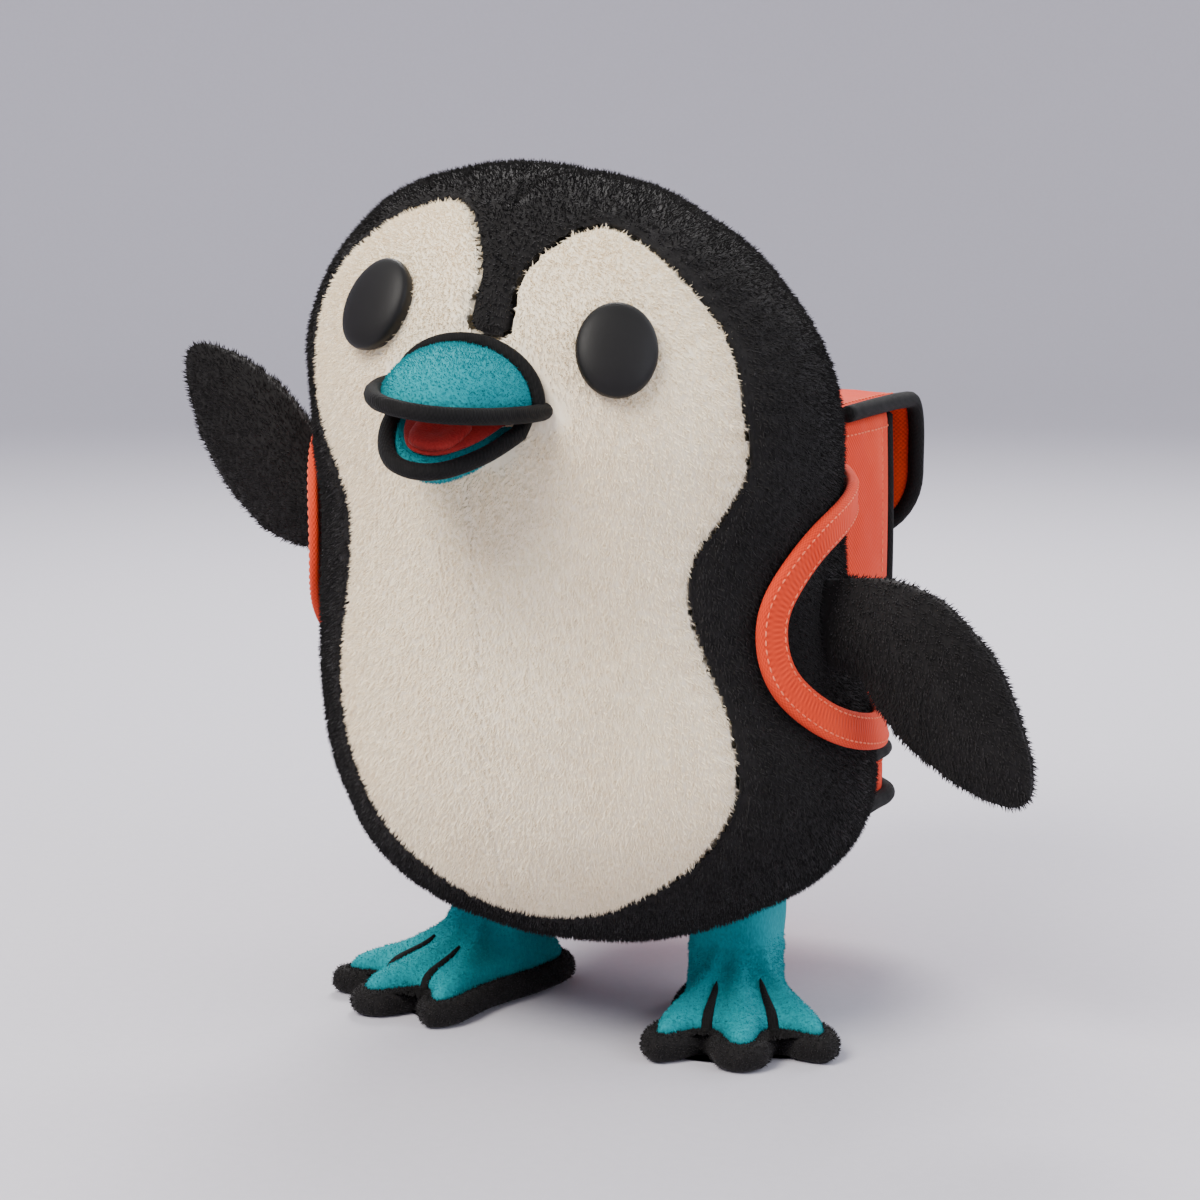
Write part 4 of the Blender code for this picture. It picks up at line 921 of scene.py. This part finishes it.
for side, out in (("left", 1), ("right", -1)):
    foot_at = Vector((BODY_X + out * HIP_X, BODY_Y + HIP_LOCAL_Y, 0))

    def at_foot(p, z):
        return foot_at + Vector((out * p.x, p.y, z))

    rings = [[at_foot(squared(d, DRUM_HALF, SHANK_DEEP).lerp(q, share), z) for d, q in zip(leg_ways, crown)]
             for share, z in rise]
    for turn in (-38, -28, -18, -8, 2, 12, 22, 32, 42, 52, 62, 71, 79):
        a = radians(turn)
        deep = max(SHANK_DEEP, DRUM * cos(a)) if turn < 0 else DRUM * cos(a)
        rings.append([at_foot(squared(d, DRUM_HALF, deep), HIP_Z + DRUM * sin(a)) for d in leg_ways])
    leg = skin("boot_" + side, rings, TEAL_FLEECE)
    co, facing = places(leg), normals(leg)
    folds = 0.0005 * np.sin(co[:, 2] * 900 + 3 * np.sin(co[:, 0] * 160))
    put(leg, co + facing * (folds * np.exp(-((co[:, 2] - 0.023) / 0.005) ** 2))[:, None])
    set_cover(leg, (co[:, 2] > 0.0085) * np.clip((0.031 - co[:, 2]) / 0.004, 0, 1))
    leg_pile = grow_pile("boot_%s_pile" % side, leg, TEAL_FIBRE, 2.0e6, 0.0009, 0.00016, (0, 0, -0.5), 0.5, 21)

    levels = [(0.0095, 0.0)]
    for i in range(10):
        a = radians(-62 + 142 * i / 10)
        levels.append((0.0040 * (1 - cos(a) ** 0.9), max(0.0, 0.0042 + 0.0046 * sin(a))))
    levels += [(0.0048, ROLL_TOP), (0.0075, ROLL_TOP - 0.0005)]
    roll = skin("foot_roll_" + side, [[at_foot(p, z) for p in moved_out(roll_plan, -d)] for d, z in levels],
                BLACK_PLUSH)
    set_cover(roll, (normals(roll)[:, 2] > -0.5) * (places(roll)[:, 2] > 0.0016))
    roll_pile = grow_pile("foot_roll_%s_pile" % side, roll, BLACK_FIBRE, 1.6e6, 0.0011, 0.0002, (0, 0, 0.1),
                          0.5, 22)
    for i, sign in enumerate((1, -1)):
        notch, into = on_floor(0.0360, sign * 0.0118), on_floor(0.002, sign * 0.0048)
        ends = [at_foot(p, 0.0) for p in (notch, notch.lerp(into, 0.62))]
        toe_line("toe_line_%s_%d" % (side, i + 1), leg, *ends, side)
    dress(leg, "leg_" + side, "teal_fleece", "leg_%s_cover" % side, "leg_%s_stuffing" % side, fill=0.9)
    dress(leg_pile, "leg_" + side, "teal_fleece")
    dress(roll, "leg_" + side, "black_plush", "foot_%s_pad" % side, "foot_%s_insole" % side, fill=0.9)
    dress(roll_pile, "leg_" + side, "black_plush")

# ======================================================================
# Rucksack
# An open-topped bag of orange canvas, sewn against the back. Black cord is piped up its two back corners
# and round its base, and two rows of it divide the strip above the base. A pocket is sewn on behind.
# ======================================================================
BAG_LOW, BAG_RIM, BAG_X, BAG_Y, BAG_DEEP, BAG_ROUND, CANVAS = 0.052, 0.203, 0.058, 0.100, 0.046, 0.026, 0.0025
BAND_ROWS, BAND_CORD, BAG_CORD, BASE_ROW = (0.095, 0.075), 0.0023, 0.0031, 0.0575
BAG_BACK = BAG_Y + BAG_DEEP
ORANGE_CANVAS = woven_cloth("orange_canvas", (0.78, 0.052, 0.014), (0.84, 0.095, 0.036), (0.50, 0.028, 0.008),
                            0.0009, depth=0.0003, uv=True, sheen=0.04)
ORANGE_THREAD = woven_cloth("orange_thread", (0.95, 0.22, 0.10), (1.0, 0.32, 0.18), (0.7, 0.10, 0.05), 0.0004)
bag_at = Vector((BODY_X, BODY_Y, 0))


def bag_plan(steps=10, straight=26):
    """The bag's plan: points, outward directions, and how far each is from a corner (0 at one, 1 midway)."""
    arcs = []
    for corner, (sx, sy) in enumerate(((1, 1), (-1, 1), (-1, -1), (1, -1))):
        middle = Vector((sx * (BAG_X - BAG_ROUND), BAG_Y + sy * (BAG_DEEP - BAG_ROUND)))
        ways = [Vector((cos(a), sin(a))) for a in
                [pi / 2 * (corner + i / steps) for i in range(steps + 1)]]
        arcs.append([(middle + w * BAG_ROUND, w, 0.0) for w in ways])
    plan = []
    for i, arc in enumerate(arcs):
        plan += arc
        start, end = arc[-1], arcs[(i + 1) % 4][0]
        plan += [(start[0].lerp(end[0], k / straight), start[1], sin(pi * k / straight))
                 for k in range(1, straight)]
    return plan


BAG_PLAN = bag_plan()


def fullness(z, flat):
    """How far the canvas stands out between its corners and its rows of cord."""
    rows = [BASE_ROW, BAND_ROWS[1], BAND_ROWS[0], BAG_RIM + 0.004]
    for low, high, most in zip(rows, rows[1:], (0.0012, 0.0012, 0.0026)):
        if low < z < high:
            return (0.35 + 0.65 * flat) * most * sin(pi * (z - low) / (high - low))
    return 0.0


def creases(x, y, z):
    """Soft creases in the canvas, longer up and down than across."""
    return noise.noise(Vector((x * 48, y * 48, z * 21))) + 0.5 * noise.noise(Vector((x * 95, y * 95, z * 60)))


def bag_ring(z, grow):
    ring = []
    for p, w, flat in BAG_PLAN:
        out = grow + fullness(z, flat) + 0.0009 * (0.15 + 0.85 * flat) * creases(p.x, p.y, z)
        ring.append(bag_at + Vector((*(p + w * out), z)))
    return ring


def with_uv(piece, us, vs):
    """Gives a lofted piece a map in metres: round it, and along it."""
    count = len(us)
    layer = piece.data.uv_layers.new(name="cloth")
    for polygon in piece.data.polygons:
        spread = [piece.data.loops[i].vertex_index for i in polygon.loop_indices]
        columns = [v % count for v in spread]
        wraps = max(columns) - min(columns) > count // 2
        for loop, v, column in zip(polygon.loop_indices, spread, columns):
            row = min(v // count, len(vs) - 1)
            u = us[column] + ((us[-1] + us[1]) if wraps and column < count // 2 else 0)
            layer.data[loop].uv = (u, vs[row])


def run_along(points):
    total = [0.0]
    for a, b in zip(points, points[1:]):
        total.append(total[-1] + (b - a).length)
    return total


outer = [(BAG_LOW, -0.010), (BAG_LOW, -0.006), (BAG_LOW + 0.001, -0.0035), (BAG_LOW + 0.0035, -0.0012)]
outer += [(z, 0.0) for z in np.arange(BASE_ROW, BAG_RIM - 0.0008, 0.0028)]
rim_roll = [(BAG_RIM, -0.0004), (BAG_RIM + 0.0005, -CANVAS / 2), (BAG_RIM, -CANVAS + 0.0004)]
inner = [(z, -CANVAS) for z in np.arange(BAG_RIM - 0.002, BASE_ROW + 0.006, -0.006)]
inner += [(BASE_ROW + 0.004, -CANVAS - 0.001), (BASE_ROW + 0.0033, -0.010)]
bag_levels = outer + rim_roll + inner
bag = skin("canvas_bag", [bag_ring(float(z), g) for z, g in bag_levels], ORANGE_CANVAS)
with_uv(bag, run_along(bag_ring(0.12, 0)), run_along([Vector((g, z)) for z, g in bag_levels]))
body_room = skin("body_room", [[body_point(a, z) + body_frame(a, z)[1] * 0.0012 for a in turns[::2]]
                               for z in profile[2:-2:2]], BLACK_PLUSH)
cut(bag, body_room)
bpy.data.objects.remove(body_room)
dress(bag, "torso", "orange_canvas", "bag_shell")


def bag_line(z, grow, sunk):
    """The line round the bag at a height, up to where it goes into the plush by more than sunk."""
    line = []
    for p in bag_ring(z, grow):
        hit = body_tree.find_nearest(p)[0]
        if (p - hit).dot(hit - Vector((BODY_X, BODY_Y, hit.z))) > 0 or (p - hit).length < sunk:
            line.append(p)
    start = max(range(len(line)), key=lambda i: (line[i] - line[i - 1]).length)
    return line[start:] + line[:start]


for name, z, radius, node in (("band_cord_upper", BAND_ROWS[0], BAND_CORD, "bag_band_upper"),
                              ("band_cord_lower", BAND_ROWS[1], BAND_CORD, "bag_band_lower"),
                              ("base_cord", BASE_ROW, BAG_CORD, "bag_base_piping")):
    cord = cord_tube(name, bag_line(z, radius * 0.75, 0.004), radius, BLACK_PIPING)
    dress(cord, "torso", "black_cord", node)
for side, out in (("left", 1), ("right", -1)):
    reach = (BAG_ROUND + BAG_CORD * 0.45) * sqrt(0.5)
    corner = Vector((out * (BAG_X - BAG_ROUND + reach), BAG_BACK - BAG_ROUND + reach))
    spine = [bag_at + Vector((*(corner + Vector((out, 1)) * 0.7 * fullness(z, 0.3)), z))
             for z in np.linspace(0.0975, 0.2010, 30).tolist()]
    cord = cord_tube("corner_cord_" + side, spine, BAG_CORD, BLACK_PIPING)
    dress(cord, "torso", "black_cord", "bag_piping_" + side)


def stitch_tree():
    """Short rounded stitches at an even pitch along a line of edges."""
    tree, add, given = group("stitch_row", {
        "Line": (GEOMETRY, None), "Pitch": (FLOAT, 0.003), "Length": (FLOAT, 0.0022), "Width": (FLOAT, 0.0004),
        "Material": (MATERIAL, None)}, "GeometryNodeTree")
    line = add("GeometryNodeMeshToCurve", {"Mesh": given["Line"]})
    even = add("GeometryNodeResampleCurve", {"Curve": line, "Length": given["Pitch"]}, mode="LENGTH")
    thread = add("GeometryNodeMeshUVSphere", {"Segments": 6, "Rings": 5, "Radius": 1.0})
    size = add("ShaderNodeCombineXYZ", {"X": given["Width"], "Y": given["Width"],
                                        "Z": maths(add, "MULTIPLY", given["Length"], 0.5)})
    return planted(tree, add, given, even, thread, add("GeometryNodeInputTangent"), size, "Stitches")


STITCHES = stitch_tree()


def stitch(name, lines, body_name, pitch=0.0034, length=0.0025, width=0.00036):
    points, edges = [], []
    for line in lines:
        edges += [(len(points) + i, len(points) + i + 1) for i in range(len(line) - 1)]
        points += [tuple(p) for p in line]
    mesh = bpy.data.meshes.new(name + "_line")
    mesh.from_pydata(points, edges, [])
    carrier = bpy.data.objects.new(name + "_line", mesh)
    row = grown(name, STITCHES, carrier, {"Pitch": pitch, "Length": length, "Width": width,
                                          "Material": ORANGE_THREAD})
    bpy.data.objects.remove(carrier)
    row.data.shade_smooth()
    dress(row, body_name, "orange_canvas")


seams = [bag_line(z, 0.0001, 0.0) for z in (BAND_ROWS[0] + 0.0052, BAND_ROWS[0] - 0.0048,
                                             BAND_ROWS[1] + 0.0048, BAND_ROWS[1] - 0.0045, BAG_RIM - 0.005)]
for out in (1, -1):
    for side_x, back_y, way in ((BAG_X, BAG_BACK - BAG_ROUND - 0.0015, (1, 0)),
                                (BAG_X - BAG_ROUND - 0.0015, BAG_BACK, (0, 1))):
        line = []
        for z in np.linspace(0.1, 0.197, 40).tolist():
            grow = fullness(z, 0.1) + 0.0001
            line.append(bag_at + Vector((out * (side_x + grow * way[0]), back_y + grow * way[1], z)))
        seams.append(line)
stitch("bag_stitches", seams, "torso")

POCKET_X, POCKET_LOW, POCKET_HIGH, POCKET_DEEP = 0.028, 0.102, 0.140, 0.0078
pocket_mid, pocket_half = (POCKET_LOW + POCKET_HIGH) / 2, (POCKET_HIGH - POCKET_LOW) / 2
pocket_plan = closed_curve([(POCKET_X, pocket_half), (0, pocket_half), (-POCKET_X, pocket_half),
                            (-POCKET_X, -0.3 * pocket_half), (-0.7 * POCKET_X, -pocket_half), (0, -pocket_half),
                            (0.7 * POCKET_X, -pocket_half), (POCKET_X, -0.3 * pocket_half)], 8)
pocket_levels = [(1.0, 0.0004), (1.01, 0.0016), (0.99, 0.0034), (0.95, 0.0049), (0.89, 0.0060), (0.80, 0.0068),
                 (0.66, 0.0073), (0.45, 0.0076), (0.2, POCKET_DEEP)]


def on_pocket(x, z, h):
    return bag_at + Vector((x, BAG_BACK + h, z))


pocket = skin("bag_pocket_cloth", [[on_pocket(p.x * s, pocket_mid + p.y * s, h) for p in pocket_plan]
                                   for s, h in pocket_levels],
              ORANGE_CANVAS, None, on_pocket(0, pocket_mid, POCKET_DEEP))
layer = pocket.data.uv_layers.new(name="cloth")
for loop in pocket.data.loops:
    spot = pocket.data.vertices[loop.vertex_index].co
    layer.data[loop.index].uv = (spot.x, spot.z)
mouth = [on_pocket(x, POCKET_HIGH + 0.0042, 0.0028 + 0.0006 * cos(x * 50))
         for x in np.linspace(-POCKET_X, POCKET_X, 24).tolist()]
binding = cord_tube("pocket_cord", mouth, 0.0021, BLACK_PIPING)
dress(pocket, "torso", "orange_canvas", "bag_pocket")
dress(binding, "torso", "black_cord", "pocket_binding")
hem = [on_pocket(p.x * 0.90, pocket_mid + p.y * 0.88, 0.0061) for p in pocket_plan]
stitch("pocket_stitches", [hem + hem[:1]], "torso")

# ======================================================================
# Flap
# Doubled canvas, hinged on the bag's edge next to the back. It comes over the top and down behind, with
# round corners, a piped edge and a black press stud.
# ======================================================================
FLAP_LINE = open_curve([(0.0800, 0.2062), (0.110, 0.2068), (0.137, 0.2068), (0.1490, 0.2052), (0.1535, 0.1960),
                        (0.1537, 0.180), (0.1537, 0.1560)], 9)
FLAP_RUN = run_along(FLAP_LINE)
FLAP_X, FLAP_ROUND, FLAP_THICK, FLAP_CORD, STUD_Z = 0.057, 0.022, 0.0038, 0.0031, 0.168


def flap_point(x, s, lift=0.0):
    """A point of the flap: x across, s along it from the hinge, raised by lift."""
    s = min(max(s, 0.0), FLAP_RUN[-1])
    i = next(i for i in range(len(FLAP_RUN) - 1) if s <= FLAP_RUN[i + 1])
    a, b = FLAP_LINE[i], FLAP_LINE[i + 1]
    along = (b - a).normalized()
    p = a + along * (s - FLAP_RUN[i]) + Vector((-along.y, along.x)) * lift
    return bag_at + Vector((x, p.x, p.y))


def flap_end(x):
    over = max(0.0, abs(x) - (FLAP_X - FLAP_ROUND)) / FLAP_ROUND
    return FLAP_RUN[-1] - FLAP_ROUND * (1 - sqrt(max(0.0, 1 - over * over)))


FLAP_ROWS, FLAP_COLUMNS = 34, 48


def flap_loft(x):
    """The flap's two faces and rolled edge at one x."""
    end = flap_end(x)
    edge = cos(pi / 2 * (abs(x) / FLAP_X) ** 18)
    half = FLAP_THICK / 2 * max(0.25, edge)
    puff = 0.0010 * cos(pi / 2 * min(1, abs(x) / FLAP_X)) ** 0.5
    shares = [k / FLAP_ROWS for k in range(FLAP_ROWS + 1)]
    top = [flap_point(x, end * t, half + (puff + 0.0006 * creases(x, 1 + end * t, 0.5)) * sin(pi * t))
           for t in shares]
    return top + [flap_point(x, end * t, -half) for t in reversed(shares)]


flap_columns = [(-FLAP_X) * cos(pi * i / FLAP_COLUMNS) for i in range(FLAP_COLUMNS + 1)]
flap = skin("canvas_flap", [flap_loft(x) for x in flap_columns], ORANGE_CANVAS)
layer = flap.data.uv_layers.new(name="cloth")
for loop in flap.data.loops:
    column, row = divmod(loop.vertex_index, 2 * FLAP_ROWS + 2)
    x = flap_columns[min(column, FLAP_COLUMNS)]
    layer.data[loop.index].uv = (x, flap_end(x) * min(row, 2 * FLAP_ROWS + 1 - row) / FLAP_ROWS)


def flap_edge(grow):
    edge = [(-(FLAP_X + grow), s) for s in FLAP_RUN if s < FLAP_RUN[-1] - FLAP_ROUND]
    for side_x, ways in ((FLAP_ROUND - FLAP_X, range(-90, 1, 9)), (FLAP_X - FLAP_ROUND, range(0, 91, 9))):
        edge += [(side_x + (FLAP_ROUND + grow) * sin(radians(a)),
                  FLAP_RUN[-1] - FLAP_ROUND + (FLAP_ROUND + grow) * cos(radians(a))) for a in ways]
    return edge + [(FLAP_X + grow, s) for s in reversed(FLAP_RUN) if s < FLAP_RUN[-1] - FLAP_ROUND]


def beyond(x, s):
    """A point that may lie past the flap's free end."""
    spare = max(0.0, s - FLAP_RUN[-1])
    return flap_point(x, s) - Vector((0, 0, spare))


flap_rim = [beyond(x, s) for x, s in flap_edge(FLAP_CORD * 0.75)]
flap_cord = cord_tube("flap_cord", flap_rim, FLAP_CORD, BLACK_PIPING)
flap_hem = [flap_point(x, s, FLAP_THICK / 2 + 0.0002) for x, s in flap_edge(-0.0045)]
stitch("flap_stitches", [flap_hem], "bag_lid")


def turned(name, centre, profile, material, sides=48):
    """A round piece turned about a line that points backwards: (radius, distance along it)."""
    rings = [[centre + Vector((r * cos(a), y, r * sin(a))) for a in angles(sides)] for r, y in profile]
    return skin(name, rings, material)


stud_y = FLAP_LINE[-1].x + FLAP_THICK / 2 + 0.0006
stud_cap = turned("stud_cap", bag_at + Vector((0, stud_y, STUD_Z)),
                  [(0.0060, -0.0010), (0.0065, 0.0002), (0.0065, 0.0011), (0.0061, 0.0017), (0.0052, 0.0019),
                   (0.0046, 0.0016), (0.0036, 0.0017), (0.0020, 0.0020), (0.0004, 0.0021)], BLACK_PLASTIC)
stud_socket = turned("stud_socket", on_pocket(0, STUD_Z, 0.0006),
                     [(0.0052, -0.0002), (0.0055, 0.0006), (0.0055, 0.0026), (0.0050, 0.0030), (0.0030, 0.0030),
                      (0.0026, 0.0022), (0.0005, 0.0022)], BLACK_PLASTIC)
dress(flap, "bag_lid", "orange_canvas", "bag_flap")
dress(flap_cord, "bag_lid", "black_cord", "flap_piping")
dress(stud_cap, "bag_lid", "black_plastic", "snap_cap")
dress(stud_socket, "torso", "black_plastic", "snap_socket")

# ======================================================================
# Shoulder straps
# Doubled orange webbing with a row of stitches along each edge. It comes from the top of the bag, round
# the front of the wing and back to the bag's side, and lies on the plush.
# ======================================================================
STRAP_ROUTE = [(138, 0.199), (120, 0.199), (101, 0.197), (82, 0.189), (69, 0.173), (65, 0.157), (68, 0.140),
               (80, 0.125), (99, 0.116), (120, 0.113), (138, 0.112)]
STRAP_HALF, STRAP_THICK = 0.0062, 0.0038
strap_section = [(copysign(abs(cos(a)) ** 0.35, cos(a)),
                  copysign(abs(sin(a)) ** 0.7, sin(a)))
                 for a in [2 * pi * (i + 0.5) / 24 for i in range(24)]]
for side, out in (("left", 1), ("right", -1)):
    sewn_at = 142 if out > 0 else 147
    route = [(sewn_at, STRAP_ROUTE[0][1]), *STRAP_ROUTE[1:-1], (sewn_at, STRAP_ROUTE[-1][1])]
    frames = [body_frame(out * radians(p.x), p.y) for p in open_curve(route, 9)]
    middles = [spot + facing * (STRAP_THICK / 2 + 0.0004) for spot, facing in frames]
    rings, hems = [], ([], [])
    for i, (spot, (_, facing)) in enumerate(zip(middles, frames)):
        along = (middles[min(i + 1, len(middles) - 1)] - middles[max(i - 1, 0)]).normalized()
        across = along.cross(facing).normalized()
        rings.append([spot + across * a * STRAP_HALF + facing * b * STRAP_THICK / 2 for a, b in strap_section])
        for hem, sign in zip(hems, (1, -1)):
            hem.append(spot + across * sign * STRAP_HALF * 0.68 + facing * (STRAP_THICK / 2 * 0.98))
    strap = skin("webbing_" + side, rings, ORANGE_CANVAS)
    girth = [2 * STRAP_HALF * i / 12 for i in range(24)]
    with_uv(strap, girth, run_along(middles))
    dress(strap, "torso", "orange_canvas", "strap_" + side)
    stitch("strap_stitches_" + side, hems, "torso", 0.0030, 0.0021, 0.00032)

# ======================================================================
# The stand
# A wide dish of pale matt card, lit softly from a key lamp, a fill lamp and two lamps behind.
# ======================================================================
card, add = new_material("card")
card_grain = add("ShaderNodeTexNoise", {"Scale": 260, "Vector": add("ShaderNodeTexCoord", out="Object")})
coat(card, {"Base Color": mixed(add, card_grain, (0.56, 0.54, 0.60), (0.60, 0.58, 0.64)), "Roughness": 0.9})
FLOOR_R, CURVE_R, WALL_TOP, DISH_SIDES = 2.2, 0.8, 2.2, 96
dish_line = [(0.0, 0.0), (0.8, 0.0), (1.5, 0.0)]
dish_line += [(FLOOR_R + CURVE_R * sin(radians(a)), CURVE_R * (1 - cos(radians(a))))
              for a in range(0, 91, 6)]
dish_line += [(FLOOR_R + CURVE_R, WALL_TOP)]
dish_mesh = bpy.data.meshes.new("dish")
dish_mesh.from_pydata(
    [(r * cos(a), r * sin(a), h - 0.0006) for r, h in dish_line for a in angles(DISH_SIDES)], [],
    [(low + i, low + (i + 1) % DISH_SIDES, low + DISH_SIDES + (i + 1) % DISH_SIDES, low + DISH_SIDES + i)
     for low in range(0, (len(dish_line) - 1) * DISH_SIDES, DISH_SIDES) for i in range(DISH_SIDES)])
dish_mesh.shade_smooth()
dish_mesh.materials.append(card)
dish = bpy.data.objects.new("dish", dish_mesh)
bpy.context.scene.collection.objects.link(dish)

world = bpy.data.worlds.new("room")
world.use_nodes = True
wire(world.node_tree, world.node_tree.nodes["Background"], {"Color": (0.80, 0.82, 0.86), "Strength": 1.2})
bpy.context.scene.world = world


def facing_back(azimuth, elevation):
    """The direction from what is looked at to the one who looks."""
    a, e = radians(azimuth), radians(elevation)
    return Vector((sin(a) * cos(e), -cos(a) * cos(e), sin(e)))


def aimed(name, data, target, back, distance):
    made = bpy.data.objects.new(name, data)
    bpy.context.scene.collection.objects.link(made)
    made.location = target + back * distance
    made.rotation_euler = (-back).to_track_quat("-Z", "Y").to_euler()
    return made


def lamp(name, azimuth, elevation, distance, size, power, colour):
    data = bpy.data.lights.new(name, "AREA")
    data.shape, data.size, data.energy, data.color = "DISK", size, power, colour
    aimed(name, data, Vector((0, 0, 0.14)), facing_back(azimuth, elevation), distance)


lamp("key", -14, 46, 1.6, 0.8, 34, (1.0, 0.96, 0.90))
lamp("fill", 84, 24, 1.7, 1.1, 12, (0.88, 0.93, 1.0))
lamp("rim", 205, 44, 1.6, 0.7, 26, (1.0, 0.98, 0.95))
lamp("back_fill", 150, 25, 1.8, 1.0, 10, (0.92, 0.95, 1.0))

camera_data = bpy.data.cameras.new("camera")
camera_data.lens = 85
look = Vector((0.002, -0.006, 0.146))
bpy.context.scene.camera = aimed("camera", camera_data, look, facing_back(26, 9), 0.98)
